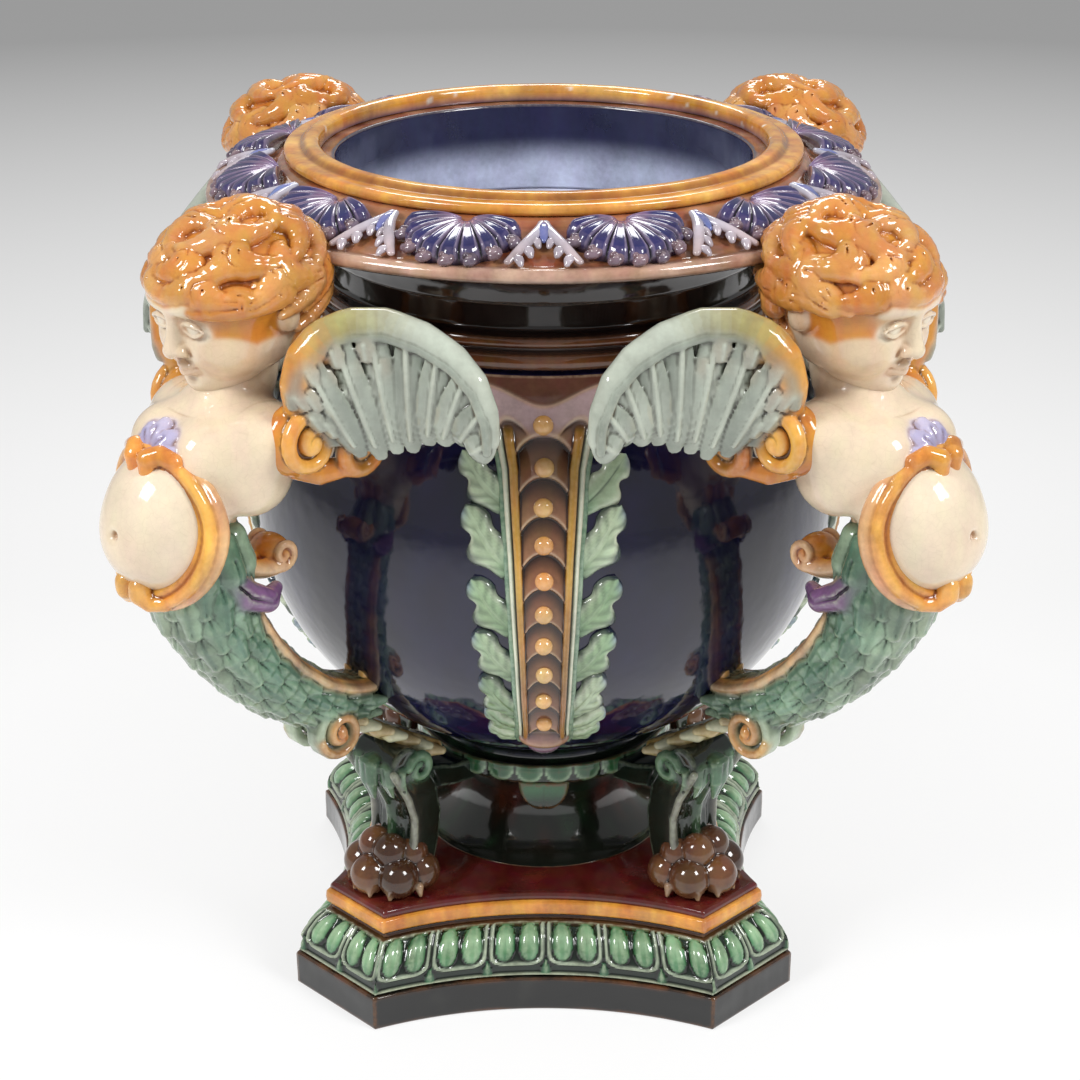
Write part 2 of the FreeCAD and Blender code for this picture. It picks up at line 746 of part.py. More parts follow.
def hair_locks():
    """Rounded locks in rings round the crown of the head; each ring leaves the face open."""
    locks = []
    rings = ((0, 1, 0), (40, 6, 0), (74, 9, 42), (106, 8, 70), (136, 6, 95))
    for down, count, open_half in rings:
        for number in range(count):
            around = math.radians(open_half + (360 - 2 * open_half) * (number + 0.5) / count)
            tip = math.radians(down)
            ahead, aside, up = math.sin(tip) * math.cos(around), math.sin(tip) * math.sin(around), math.cos(tip)
            lock = doc.addObject("Part::Sphere", f"lock_{len(locks) + 1}")
            bind(lock, Radius="lock_radius")
            place(lock, x=f"{HAIR[0]} + {ahead:.4f}*hair_length_radius - {ahead:.4f}*lock_sink",
                  y=f"{aside:.4f}*hair_width_radius - {aside:.4f}*lock_sink",
                  z=f"{HAIR[1]} + {up:.4f}*hair_height_radius - {up:.4f}*lock_sink")
            locks.append(lock)
    return locks


def head(torso_part, *neighbours):
    """Skull, face and a thick cap of curly hair that leaves the face open."""
    skull = ellipsoid("skull", *SKULL, "skull_radius", "skull_radius", "skull_radius")
    face = ellipsoid("face", *FACE, "face_radius", "face_radius", "face_radius")
    hair = ellipsoid("hair", *HAIR, "hair_length_radius", "hair_width_radius", "hair_height_radius")
    return cut("head_shape", fused("head_joined", skull, face, hair, *hair_locks()), torso_part, *neighbours)


def paunch_frame(torso_part):
    """A round strap framing the paunch, with a knob at its foot and another at its crest."""
    turn = Rotation(Vector(0, 1, 0), 90 - size("frame_tilt"))
    frame_place = PAUNCH[0] + " + frame_ahead"
    bands = []
    for name, radius in (("frame_outer", "frame_radius + 0.5*frame_band"),
                         ("frame_inner", "frame_radius - 0.5*frame_band")):
        disc = doc.addObject("Part::Cylinder", name)
        bind(disc, Radius=radius, Height="frame_depth")
        place(disc, x=frame_place, z=PAUNCH[1], turn=turn)
        bands.append(disc)
    knob = doc.addObject("Part::Sphere", "frame_knob")
    bind(knob, Radius="knob_radius")
    place(knob, x=frame_place + " + 0.8*frame_depth + 0.2*frame_radius", z=PAUNCH[1] + " - frame_radius")
    crest = doc.addObject("Part::Sphere", "frame_crest")
    bind(crest, Radius="crest_radius")
    place(crest, x=frame_place + " + 0.6*frame_depth - 0.2*frame_radius", z=PAUNCH[1] + " + frame_radius")
    ring = cut("frame_ring", bands[0], bands[1])
    return cut("frame_shape", fused("frame_with_knobs", ring, knob, crest), torso_part)


def on_scroll(angle, side):
    """A point of the scroll's outer (side 1) or inner (side -1) edge."""
    across, up = math.cos(math.radians(angle)), math.sin(math.radians(angle))
    half = 0.5 * side
    return (f"{SCROLL[0]} + {across:.4f}*scroll_radius + {half * across:.4f}*scroll_band",
            f"{SCROLL[1]} + {up:.4f}*scroll_radius + {half * up:.4f}*scroll_band")


def loop_scroll(torso_part):
    """The C-shaped strap that lines the outside of the handle's loop."""
    top, low = 80, -62
    band = padded("scroll_band_pad", "XZ_Plane", "scroll_width", [
        on_scroll(top, -1), on_scroll((top + low) / 2, -1) + ("arc",), on_scroll(low, -1),
        on_scroll(low, 1), on_scroll((top + low) / 2, 1) + ("arc",), on_scroll(top, 1),
    ], midplane=True)
    end = on_scroll(low, 0)
    knob = cross_cylinder("scroll_knob", "scroll_knob_radius", "scroll_width", end[0], end[1])
    return cut("scroll_shape", fused("scroll_joined", band, knob), torso_part, bowl_envelope)


def tail(*neighbours):
    """The tapering scaled tail that runs from the paunch down and back to the bowl."""
    stations = ((*TAIL_ROOT, "tail_root_radius"), (*TAIL_BEND, "tail_bend_radius"),
                (times(0.597, TAIL_BEND[0]) + " + 0.403*tail_end_reach",
                 times(0.4, TAIL_BEND[1]) + " + 0.6*tail_end_level", "tail_low_radius"),
                ("tail_end_reach", "tail_end_level", "tail_end_radius"),
                ("tail_seat_reach", "tail_end_level", "tail_end_radius"))
    centres = [Vector(measure(reach), 0, measure(level)) for reach, level, _ in stations]
    sections = []
    for number, (reach, level, radius) in enumerate(stations):
        before, after = centres[max(number - 1, 0)], centres[min(number + 1, len(centres) - 1)]
        ring = doc.addObject("Part::Circle", f"tail_section_{number + 1}")
        bind(ring, Radius=radius)
        place(ring, x=reach, z=level, turn=Rotation(Vector(0, 0, 1), after - before))
        sections.append(ring)
    sweep = doc.addObject("Part::Loft", "tail_sweep")
    sweep.Sections = sections
    sweep.Solid, sweep.Ruled = True, False
    volute = cross_cylinder("tail_volute", "volute_radius", "volute_width", "volute_reach",
                            "volute_level")
    return cut("tail_shape", fused("tail_joined", sweep, volute), *neighbours)


def brace(*neighbours):
    """The flat rib under the bowl, from the tail's end to the top of the leg."""
    strip = padded("brace_strip", "XZ_Plane", "brace_width", [
        ("brace_foot_reach", "brace_foot_level"), ("brace_top_reach", "brace_top_level"),
        ("brace_top_reach - 6", "brace_top_level + brace_thickness"),
        ("brace_foot_reach - 6", "brace_foot_level + 3*brace_thickness"),
    ], midplane=True)
    return cut("brace_shape", strip, bowl_envelope, *neighbours)


def wing(*neighbours):
    """A raised wing with rounded feather tips, curling from a roundel at the shoulder."""
    lower = []
    count = int(size("feather_count"))
    for number in range(2 * count + 1):
        along = 1 - number / (2 * count)
        drop = " - feather_drop" if number % 2 else ""
        mark = ("arc",) if number % 2 else ()
        lower.append((f"{0.97 * along:.4f}*wing_span",
                      f"{times(along, WING_LEVELS['tip'])} + {times(1 - along, WING_LEVELS['foot'])}{drop}") + mark)
    top, tip, foot = WING_LEVELS["top"], WING_LEVELS["tip"], WING_LEVELS["foot"]
    upper = [
        ("0 - 0.09*wing_span", foot + " + 8"),
        ("0.08*wing_span", f"{times(0.75, top)} + {times(0.25, foot)}", "arc"),
        ("0.36*wing_span", top),
        ("0.78*wing_span", f"{times(0.83, top)} + {times(0.17, tip)}", "arc"),
        ("wing_span", f"{times(0.25, top)} + {times(0.75, tip)}"),
    ]
    plate = padded("wing_plate", "XZ_Plane", "wing_thickness", upper + lower, midplane=True)
    ridge = padded("wing_ridge", "XZ_Plane", "wing_thickness + 2*wing_ridge_proud", upper + [
        ("wing_span - wing_ridge_width", f"{times(0.22, top)} + {times(0.78, tip)}"),
        ("0.78*wing_span - 0.6*wing_ridge_width", f"{times(0.83, top)} + {times(0.17, tip)} - 0.9*wing_ridge_width",
         "arc"),
        ("0.36*wing_span", top + " - wing_ridge_width"),
        ("0.08*wing_span + 0.9*wing_ridge_width", f"{times(0.75, top)} + {times(0.25, foot)} - 0.5*wing_ridge_width",
         "arc"),
        ("wing_ridge_width - 0.09*wing_span", foot + " + 8"),
    ], midplane=True)
    hook = cross_cylinder("wing_hook", "wing_hook_radius", "wing_thickness + 2*wing_ridge_proud",
                          "0.06*wing_span", f"{times(0.6, top)} + {times(0.4, foot)}")
    roundel = cross_cylinder("wing_roundel", "wing_volute_radius", "wing_volute_width", "0",
                             "chest_level + wing_volute_rise")
    joined = fused("wing_joined", plate, ridge, hook, roundel)
    place(joined, x="chest_reach - wing_base_behind", y="wing_base_offset",
          turn=Rotation(Vector(0, 0, 1), size("wing_yaw")))
    return cut("wing_left_shape", joined, *neighbours)


torso_shape = torso()
head_shape = head(torso_shape, collar_local, fan)
frame_shape = paunch_frame(torso_shape)
scroll_shape = loop_scroll(torso_shape)
tail_shape = tail(torso_shape, frame_shape, scroll_shape, bowl_envelope)
brace_shape = brace(tail_shape)
wing_left_shape = wing(torso_shape, head_shape)
wing_right_shape = doc.addObject("Part::Mirroring", "wing_right_shape")
wing_right_shape.Source = wing_left_shape
wing_right_shape.Normal = Vector(0, 1, 0)


# ---------------------------------------------------------------- copies round the vessel

doc.recompute()
shells = ring_of("collar_shells", fan, int(size("shell_count")), 180 / size("shell_count"))
place(shells, z=SEAT)
keep("collar_shells", shells)

leaves = ring_of("strap_leaves", leaf_shape, len(SIDES), 0)
place(leaves, z=SEAT)
keep("strap_leaves", leaves)

for side, angle in SIDES.items():
    keep(f"strap_{side}", turned_copy(f"strap_{side}", strap_shape, angle - SIDES["front"], measure(SEAT)))

HANDLE_PARTS = {"putto_head": head_shape, "putto_torso": torso_shape, "paunch_frame": frame_shape,
                "loop_scroll": scroll_shape, "putto_tail": tail_shape, "tail_brace": brace_shape,
                "wing_left": wing_left_shape, "wing_right": wing_right_shape}
LEG_PARTS = {"lion_leg": leg_shape, "lion_paw": paw_shape}
for corner, angle in DIAGONALS.items():
    for level, parts in ((SEAT, HANDLE_PARTS), (PLINTH_TOP, LEG_PARTS)):
        for name, source in parts.items():
            node = f"{name}_{corner}"
            keep(node, turned_copy(node, source, angle, measure(level)))


# ---------------------------------------------------------------- check and write

doc.recompute()
for thing in doc.Objects:
    faults = {"Invalid", "Error"} & set(thing.State)
    if faults:
        raise RuntimeError(f"{thing.Name} is {sorted(faults)}")
for node, thing in pieces.items():
    if thing.Shape.isNull() or not thing.Shape.isValid():
        raise RuntimeError(f"{node} has no valid shape")

os.makedirs("parts", exist_ok=True)
for node, thing in pieces.items():
    thing.Shape.exportStep(f"parts/{node}.step")
    print(f"{node}: {len(thing.Shape.Solids)} solid, {thing.Shape.Volume / 1000:.1f} cm3")
print(len(pieces), "nodes")
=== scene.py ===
"""Looks of a majolica jardiniere on its stand: sculpted pieces in coloured glazes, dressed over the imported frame.

Shapes are worked out in millimetres in the frame's own axes and written to meshes in metres.
"""

import math

import bpy
import numpy as np
import openvdb
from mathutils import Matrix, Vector


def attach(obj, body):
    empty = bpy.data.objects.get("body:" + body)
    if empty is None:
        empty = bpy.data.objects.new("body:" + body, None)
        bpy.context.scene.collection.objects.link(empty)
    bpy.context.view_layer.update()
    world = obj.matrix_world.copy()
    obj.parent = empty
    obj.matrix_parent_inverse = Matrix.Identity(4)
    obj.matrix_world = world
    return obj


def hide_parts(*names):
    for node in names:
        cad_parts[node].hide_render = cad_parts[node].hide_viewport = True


MM = 0.001
CORNERS = {"front_left": 225, "front_right": 315, "back_right": 45, "back_left": 135}
SIDES = {"front": 0, "right": 90, "back": 180, "left": 270}

# Levels and radii of the vessel, in millimetres, as the frame holds them.
PLINTH_TOP = 53.9
SEAT = 106.0
PLINTH_HALF, PLINTH_FLAT, PLINTH_HOLLOW = 120.0, 79.6, 17.2
BELLY_RADIUS, BELLY_LEVEL = 138.0, SEAT + 128.0
BOWL_LOW = (52.0, SEAT + 9.0)
BOWL_HIGH = (102.0, SEAT + 216.0)
NECK_LOW, NECK_HIGH = SEAT + 216.0, SEAT + 244.0
COLLAR_RADIUS, COLLAR_TOP = 152.8, SEAT + 286.0
LIP_LEVEL = NECK_HIGH + 27.0
RIM_RADIUS, RIM_OPENING, RIM_HEIGHT = 117.3, 100.7, 8.0
NECK_BORE = 94.0

# Glaze colours, as linear values.
AMBER = (0.62, 0.235, 0.035)
AMBER_PALE = (0.86, 0.56, 0.26)
AMBER_DARK = (0.27, 0.075, 0.012)
OCHRE = (0.42, 0.25, 0.06)
FLESH = (0.76, 0.60, 0.42)
FLESH_WARM = (0.60, 0.38, 0.21)
COBALT = (0.004, 0.004, 0.020)
COBALT_PALE = (0.06, 0.06, 0.20)
LILAC = (0.36, 0.27, 0.40)
LILAC_PALE = (0.55, 0.50, 0.66)
MAUVE = (0.20, 0.10, 0.22)
BROWN = (0.10, 0.035, 0.016)
BROWN_DARK = (0.022, 0.010, 0.006)
BROWN_PALE = (0.36, 0.20, 0.13)
LEAF = (0.30, 0.44, 0.27)
LEAF_PALE = (0.60, 0.69, 0.52)
LEAF_BLUE = (0.12, 0.20, 0.30)
SEA = (0.022, 0.11, 0.065)
SEA_PALE = (0.19, 0.34, 0.22)
GREEN_DARK = (0.006, 0.030, 0.013)
GREEN_MID = (0.03, 0.12, 0.05)
GREEN_PALE = (0.30, 0.42, 0.24)
WING = (0.22, 0.25, 0.21)
WING_PALE = (0.46, 0.50, 0.42)
WING_DARK = (0.07, 0.08, 0.07)
MAROON = (0.085, 0.010, 0.008)
BLACK = (0.006, 0.006, 0.006)
CREAM = (0.80, 0.71, 0.56)

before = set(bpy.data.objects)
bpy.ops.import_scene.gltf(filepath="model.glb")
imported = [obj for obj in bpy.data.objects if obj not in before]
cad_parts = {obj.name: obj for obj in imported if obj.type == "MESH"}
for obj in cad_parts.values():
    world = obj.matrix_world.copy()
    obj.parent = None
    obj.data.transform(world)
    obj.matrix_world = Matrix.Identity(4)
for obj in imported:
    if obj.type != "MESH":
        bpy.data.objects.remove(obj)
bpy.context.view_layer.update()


# ---------------------------------------------------------------- small maths

def mix(a, b, t):
    """Blends two colours or arrays; t may be an array of one value per point."""
    a, b = np.asarray(a, float), np.asarray(b, float)
    t = np.asarray(t, float)
    if t.ndim and max(a.ndim, b.ndim) >= 1 and (a.shape[-1:] == (3,) or b.shape[-1:] == (3,)):
        t = t[..., None]
    return a * (1 - t) + b * t


def step(low, high, value):
    """Smooth step from 0 at low to 1 at high."""
    t = np.clip((np.asarray(value, float) - low) / (high - low), 0, 1)
    return t * t * (3 - 2 * t)


def bump(centre, width, value):
    """A smooth hill of height 1 round a centre."""
    return np.clip(1 - ((np.asarray(value, float) - centre) / width) ** 2, 0, 1) ** 1.5


def arc_between(start, middle, end, count):
    """Points along the arc through three (x, y) points."""
    ax, ay = start
    bx, by = middle
    cx, cy = end
    d = 2 * (ax * (by - cy) + bx * (cy - ay) + cx * (ay - by))
    ux = ((ax**2 + ay**2) * (by - cy) + (bx**2 + by**2) * (cy - ay) + (cx**2 + cy**2) * (ay - by)) / d
    uy = ((ax**2 + ay**2) * (cx - bx) + (bx**2 + by**2) * (ax - cx) + (cx**2 + cy**2) * (bx - ax)) / d
    radius = math.hypot(ax - ux, ay - uy)
    first, mid, last = (math.atan2(y - uy, x - ux) for x, y in (start, middle, end))
    while mid - first > math.pi:
        mid -= 2 * math.pi
    while first - mid > math.pi:
        mid += 2 * math.pi
    while last - mid > math.pi:
        last -= 2 * math.pi
    while mid - last > math.pi:
        last += 2 * math.pi
    turn = np.linspace(first, last, count)
    return [(ux + radius * math.cos(t), uy + radius * math.sin(t)) for t in turn]


def rounded(points, radius, steps=4, closed=False):
    """A polyline with each corner rounded off by up to a radius."""
    points = [np.array(p, float) for p in points]
    out = []
    count = len(points)
    for i, p in enumerate(points):
        if not closed and i in (0, count - 1):
            out.append(tuple(p))
            continue
        before, after = points[i - 1], points[(i + 1) % count]
        a, b = before - p, after - p
        la, lb = np.linalg.norm(a), np.linalg.norm(b)
        reach = min(radius, 0.45 * la, 0.45 * lb)
        start, end = p + a / la * reach, p + b / lb * reach
        for t in np.linspace(0, 1, steps + 1):
            out.append(tuple((1 - t) ** 2 * start + 2 * t * (1 - t) * p + t * t * end))
    return out


def noise3(points, scale, seed=0):
    """Smooth value noise in -1..1, from a few turned sine waves: cheap, seamless and repeatable."""
    rng = np.random.default_rng(seed)
    total = np.zeros(len(points))
    for octave in range(3):
        for _ in range(4):
            direction = rng.normal(size=3)
            direction /= np.linalg.norm(direction)
            total += np.sin(points @ direction * (2 ** octave) / scale * 2 * math.pi
                            + rng.uniform(0, 2 * math.pi)) / (2 ** octave)
    return total / 7


# ---------------------------------------------------------------- meshes

def smooth_over(values, edges, count, rounds):
    """Averages each point's value with its neighbours' a few times."""
    a, b = edges
    degree = np.maximum(np.bincount(np.concatenate([a, b]), minlength=count), 1)[:, None]
    for _ in range(rounds):
        total = np.stack([np.bincount(np.concatenate([a, b]), np.concatenate([values[b, k], values[a, k]]),
                                      minlength=count) for k in range(values.shape[1])], 1)
        values = 0.4 * values + 0.6 * total / degree
    return values


def build(name, points, quads, tints, body, nodes, slot, material, rounds=6, tidy=True):
    """Makes the Blender object of a piece, with its colours and a measure of how hollow each point lies."""
    points, quads = np.asarray(points, float), np.asarray(quads, np.int64)
    mesh = bpy.data.meshes.new(name)
    mesh.from_pydata((points * MM).tolist(), [], quads.tolist())
    tint = mesh.attributes.new("Tint", "FLOAT_COLOR", "POINT")
    tint.data.foreach_set("color", np.concatenate([tints, np.ones((len(points), 1))], 1).astype(np.float32).ravel())
    if tidy:
        import bmesh
        work = bmesh.new()
        work.from_mesh(mesh)
        bmesh.ops.remove_doubles(work, verts=work.verts, dist=1e-6)
        bmesh.ops.dissolve_degenerate(work, edges=work.edges, dist=1e-7)
        bmesh.ops.recalc_face_normals(work, faces=work.faces)
        work.to_mesh(mesh)
        work.free()
    mesh.update(calc_edges=True)
    count = len(mesh.vertices)
    place = np.empty(count * 3, np.float32)
    mesh.vertices.foreach_get("co", place)
    place = place.reshape(-1, 3).astype(float) / MM
    normal = np.empty(count * 3, np.float32)
    mesh.vertices.foreach_get("normal", normal)
    normal = normal.reshape(-1, 3).astype(float)
    ends = np.empty(len(mesh.edges) * 2, np.int32)
    mesh.edges.foreach_get("vertices", ends)
    edges = ends.reshape(-1, 2).T
    length = float(np.mean(np.linalg.norm(place[edges[0]] - place[edges[1]], axis=1)))
    soft = smooth_over(place, edges, count, rounds)
    hollow = np.einsum("ij,ij->i", soft - place, normal) / max(length, 0.1)
    cavity = mesh.attributes.new("Cavity", "FLOAT", "POINT")
    cavity.data.foreach_set("value", np.clip(hollow, -1.5, 1.5).astype(np.float32))
    mesh.shade_smooth()
    thing = bpy.data.objects.new(name, mesh)
    bpy.context.scene.collection.objects.link(thing)
    mesh.materials.append(material)
    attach(thing, body)
    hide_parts(*nodes)
    return thing


def turned(points, angle):
    """Points turned about the vertical axis by an angle in degrees."""
    turn = math.radians(angle)
    c, s = math.cos(turn), math.sin(turn)
    points = np.asarray(points, float)
    return np.stack([points[..., 0] * c - points[..., 1] * s, points[..., 0] * s + points[..., 1] * c,
                     points[..., 2]], -1)


class Heap:
    """Gathers the patches of one piece: points, quads and glaze colours."""

    def __init__(self):
        self.points, self.quads, self.tints, self.count = [], [], [], 0

    def add(self, points, quads, tint):
        points = np.asarray(points, float).reshape(-1, 3)
        self.points.append(points)
        self.quads.append(np.asarray(quads, np.int64).reshape(-1, 4) + self.count)
        self.tints.append(np.broadcast_to(np.asarray(tint, float).reshape(-1, 3), points.shape))
        self.count += len(points)

    def grid(self, points, tint, wrap_u=False, wrap_v=False):
        """A sheet of n by m points, joined to itself along either way where it wraps."""
        n, m = points.shape[:2]
        i = np.arange(n if wrap_u else n - 1)[:, None]
        j = np.arange(m if wrap_v else m - 1)[None]
        k, l = (i + 1) % n, (j + 1) % m
        self.add(points, np.stack([i * m + j, k * m + j, k * m + l, i * m + l], -1), tint)

    def plate(self, front, back, tint, back_tint=None):
        """A closed plate between two sheets of the same number of points."""
        n, m = front.shape[:2]
        tint = np.broadcast_to(np.asarray(tint, float), front.shape)
        edge = [(i, 0) for i in range(n)] + [(n - 1, j) for j in range(1, m)] \
            + [(i, m - 1) for i in range(n - 2, -1, -1)] + [(0, j) for j in range(m - 2, 0, -1)]
        rows, columns = np.array(edge).T
        self.grid(front, tint)
        self.grid(back, tint if back_tint is None else back_tint)
        rim_points = np.stack([front[rows, columns], back[rows, columns]], 0)
        self.grid(rim_points, np.stack([tint[rows, columns]] * 2, 0), wrap_v=True)

    def turned(self, angle, other):
        """Takes in another heap, turned about the vertical axis."""
        for points, quads, tint in zip(other.points, other.quads, other.tints):
            start = self.count
            self.points.append(turned(points, angle))
            self.quads.append(quads - quads.min() + start)
            self.tints.append(tint)
            self.count += len(points)

    def whole(self):
        return np.concatenate(self.points), np.concatenate(self.quads), np.concatenate(self.tints)

    def build(self, name, body, nodes, slot, material, **options):
        points, quads, tints = self.whole()
        return build(name, points, quads, tints, body, nodes, slot, material, **options)


def resampled(points, gap):
    """A polyline with its points set about a gap apart."""
    points = np.array(points, float)
    lengths = np.concatenate([[0], np.cumsum(np.linalg.norm(np.diff(points, axis=0), axis=1))])
    keep = np.concatenate([[True], np.diff(lengths) > 1e-9])
    points, lengths = points[keep], lengths[keep]
    count = max(int(round(lengths[-1] / gap)), 2)
    along = np.linspace(0, lengths[-1], count + 1)
    return np.stack([np.interp(along, lengths, points[:, k]) for k in range(points.shape[1])], 1)


def lathe(profile, segments=256, gap=1.2, relief=None, tint=None, closed=False):
    """A turned form from (radius, level) points, with its surface lifted by relief and coloured by tint."""
    profile = list(profile)
    if closed:
        profile = profile + [profile[0]]
    path = resampled(profile, gap)
    if closed:
        path = path[:-1]
    tangent = np.roll(path, -1, 0) - np.roll(path, 1, 0)
    if not closed:
        tangent[0], tangent[-1] = path[1] - path[0], path[-1] - path[-2]
    tangent /= np.maximum(np.linalg.norm(tangent, axis=1), 1e-9)[:, None]
    area = np.sum(path[:, 0] * np.roll(path[:, 1], -1) - np.roll(path[:, 0], -1) * path[:, 1])
    sign = 1 if area > 0 else -1
    outward = np.stack([tangent[:, 1], -tangent[:, 0]], 1) * sign
    angle = np.linspace(0, 2 * math.pi, segments, endpoint=False)
    r = np.repeat(path[:, :1], segments, 1)
    z = np.repeat(path[:, 1:], segments, 1)
    a = np.repeat(angle[None], len(path), 0)
    height = relief(a, r, z) if relief else np.zeros_like(r)
    r2 = r + outward[:, :1] * height
    z2 = z + outward[:, 1:] * height
    points = np.stack([r2 * np.cos(a), r2 * np.sin(a), z2], -1)
    colours = tint(a, r, z, height) if tint else np.full(points.shape, 0.5)
    heap = Heap()
    heap.grid(points, colours, wrap_u=closed, wrap_v=True)
    return heap


# ---------------------------------------------------------------- materials

def link_math(tree, kind, a, b=None, clamp=False):
    node = tree.nodes.new("ShaderNodeMath")
    node.operation, node.use_clamp = kind, clamp
    for socket, value in zip(node.inputs, (a, b)):
        if value is None:
            continue
        if isinstance(value, (int, float)):
            socket.default_value = value
        else:
            tree.links.new(value, socket)
    return node.outputs[0]


def link_range(tree, value, low, high, out_low, out_high):
    node = tree.nodes.new("ShaderNodeMapRange")
    node.inputs["From Min"].default_value, node.inputs["From Max"].default_value = low, high
    node.inputs["To Min"].default_value, node.inputs["To Max"].default_value = out_low, out_high
    tree.links.new(value, node.inputs["Value"])
    return node.outputs["Result"]


def link_noise(tree, where, size, detail=2.0, kind="ShaderNodeTexNoise", **sockets):
    """Noise whose features are about size millimetres across."""
    node = tree.nodes.new(kind)
    node.inputs["Scale"].default_value = 1 / (size * MM)
    if "Detail" in node.inputs:
        node.inputs["Detail"].default_value = detail
    for key, value in sockets.items():
        node.inputs[key].default_value = value
    tree.links.new(where, node.inputs["Vector"])
    return node


def link_mix(tree, kind, amount, a, b):
    node = tree.nodes.new("ShaderNodeMix")
    node.data_type, node.blend_type = "RGBA", kind
    for socket, value in zip((node.inputs[0], node.inputs[6], node.inputs[7]), (amount, a, b)):
        if isinstance(value, (int, float)):
            socket.default_value = value
        elif isinstance(value, tuple):
            socket.default_value = (*value, 1)
        else:
            tree.links.new(value, socket)
    return node.outputs[2]


def glaze(name, rough=0.1, vary=0.2, patch=22, streak=0.0, pool=0.75, pool_colour=(0.12, 0.05, 0.02), thin=0.3,
          thin_colour=(0.75, 0.66, 0.52), ripple=0.25, pits=0.15, colour=None, crackle=0.0):
    """A lead glaze over clay: pooled and darker in the hollows, thin and paler on the edges, a little rippled."""
    material = bpy.data.materials.new(name)
    material.use_nodes = True
    tree = material.node_tree
    tree.nodes.clear()
    output = tree.nodes.new("ShaderNodeOutputMaterial")
    shader = tree.nodes.new("ShaderNodeBsdfPrincipled")
    tree.links.new(shader.outputs["BSDF"], output.inputs["Surface"])
    where = tree.nodes.new("ShaderNodeTexCoord").outputs["Object"]

    if colour is None:
        attribute = tree.nodes.new("ShaderNodeAttribute")
        attribute.attribute_name = "Tint"
        base = attribute.outputs["Color"]
        cavity = tree.nodes.new("ShaderNodeAttribute")
        cavity.attribute_name = "Cavity"
        hollow = cavity.outputs["Fac"]
    else:
        base, hollow = colour, None

    broad = link_noise(tree, where, patch, 3.0)
    fine = link_noise(tree, where, 2.6, 3.0, Roughness=0.6)
    # Glaze runs down before it sets, so its colour varies in soft upright streaks.
    stretch = tree.nodes.new("ShaderNodeMapping")
    stretch.inputs["Scale"].default_value = (1, 1, 0.22)
    tree.links.new(where, stretch.inputs["Vector"])
    runs = link_noise(tree, stretch.outputs["Vector"], 7, 2.0)

    lightness = link_math(tree, "ADD", link_range(tree, broad.outputs["Fac"], 0.3, 0.7, 1 - vary, 1 + vary),
                          link_range(tree, fine.outputs["Fac"], 0.3, 0.7, -0.35 * vary, 0.35 * vary))
    lightness = link_math(tree, "ADD", lightness, link_range(tree, runs.outputs["Fac"], 0.3, 0.7, -streak, streak))
    tone = tree.nodes.new("ShaderNodeHueSaturation")
    tree.links.new(lightness, tone.inputs["Value"])
    tree.links.new(link_range(tree, runs.outputs["Fac"], 0.3, 0.7, 0.5 - 0.012, 0.5 + 0.012), tone.inputs["Hue"])
    if isinstance(base, tuple):
        second = link_mix(tree, "MIX", link_range(tree, broad.outputs["Fac"], 0.4, 0.62, 0, 1), base,
                          tuple(min(1, c * 1.35) for c in base))
        tree.links.new(second, tone.inputs["Color"])
    else:
        tree.links.new(base, tone.inputs["Color"])
    result = tone.outputs["Color"]
    if hollow is not None:
        # The same hollow pools more or less glaze from place to place.
        amount = link_math(tree, "MULTIPLY", link_range(tree, hollow, 0.03, 0.42, 0, pool),
                           link_range(tree, broad.outputs["Fac"], 0.25, 0.75, 0.75, 1.2), clamp=True)
        dark = link_mix(tree, "MULTIPLY", 1.0, result, tuple(pool_colour))
        result = link_mix(tree, "MIX", amount, result, dark)
        bare = link_math(tree, "MULTIPLY", link_range(tree, hollow, -0.12, -0.55, 0, thin),
                         link_range(tree, fine.outputs["Fac"], 0.35, 0.6, 0.4, 1.2), clamp=True)
        result = link_mix(tree, "MIX", bare, result, tuple(thin_colour))
    if crackle:
        cracks = link_noise(tree, where, 3.2, kind="ShaderNodeTexVoronoi")
        cracks.feature = "DISTANCE_TO_EDGE"
        line = link_range(tree, cracks.outputs["Distance"], 0.0, 0.03, crackle, 0)
        result = link_mix(tree, "MULTIPLY", line, result, (0.45, 0.34, 0.24))
    tree.links.new(result, shader.inputs["Base Color"])

    tree.links.new(link_range(tree, fine.outputs["Fac"], 0.3, 0.75, rough * 0.75, rough * 1.5),
                   shader.inputs["Roughness"])
    shader.inputs["IOR"].default_value = 1.56
    shader.inputs["Coat Weight"].default_value = 0.35
    shader.inputs["Coat Roughness"].default_value = 0.04

    wave = link_noise(tree, where, 9, 1.0)
    pin = link_noise(tree, where, 3.4, kind="ShaderNodeTexVoronoi", Randomness=1.0)
    pin_depth = link_range(tree, pin.outputs["Distance"], 0.02, 0.09, -pits, 0)
    height = link_math(tree, "ADD", link_range(tree, wave.outputs["Fac"], 0, 1, 0, ripple * 2), pin_depth)
    height = link_math(tree, "ADD", height, link_range(tree, fine.outputs["Fac"], 0, 1, 0, ripple * 0.25))
    relief = tree.nodes.new("ShaderNodeBump")
    relief.inputs["Strength"].default_value = 0.6
    relief.inputs["Distance"].default_value = 0.0006
    tree.links.new(height, relief.inputs["Height"])
    tree.links.new(relief.outputs["Normal"], shader.inputs["Normal"])
    return material


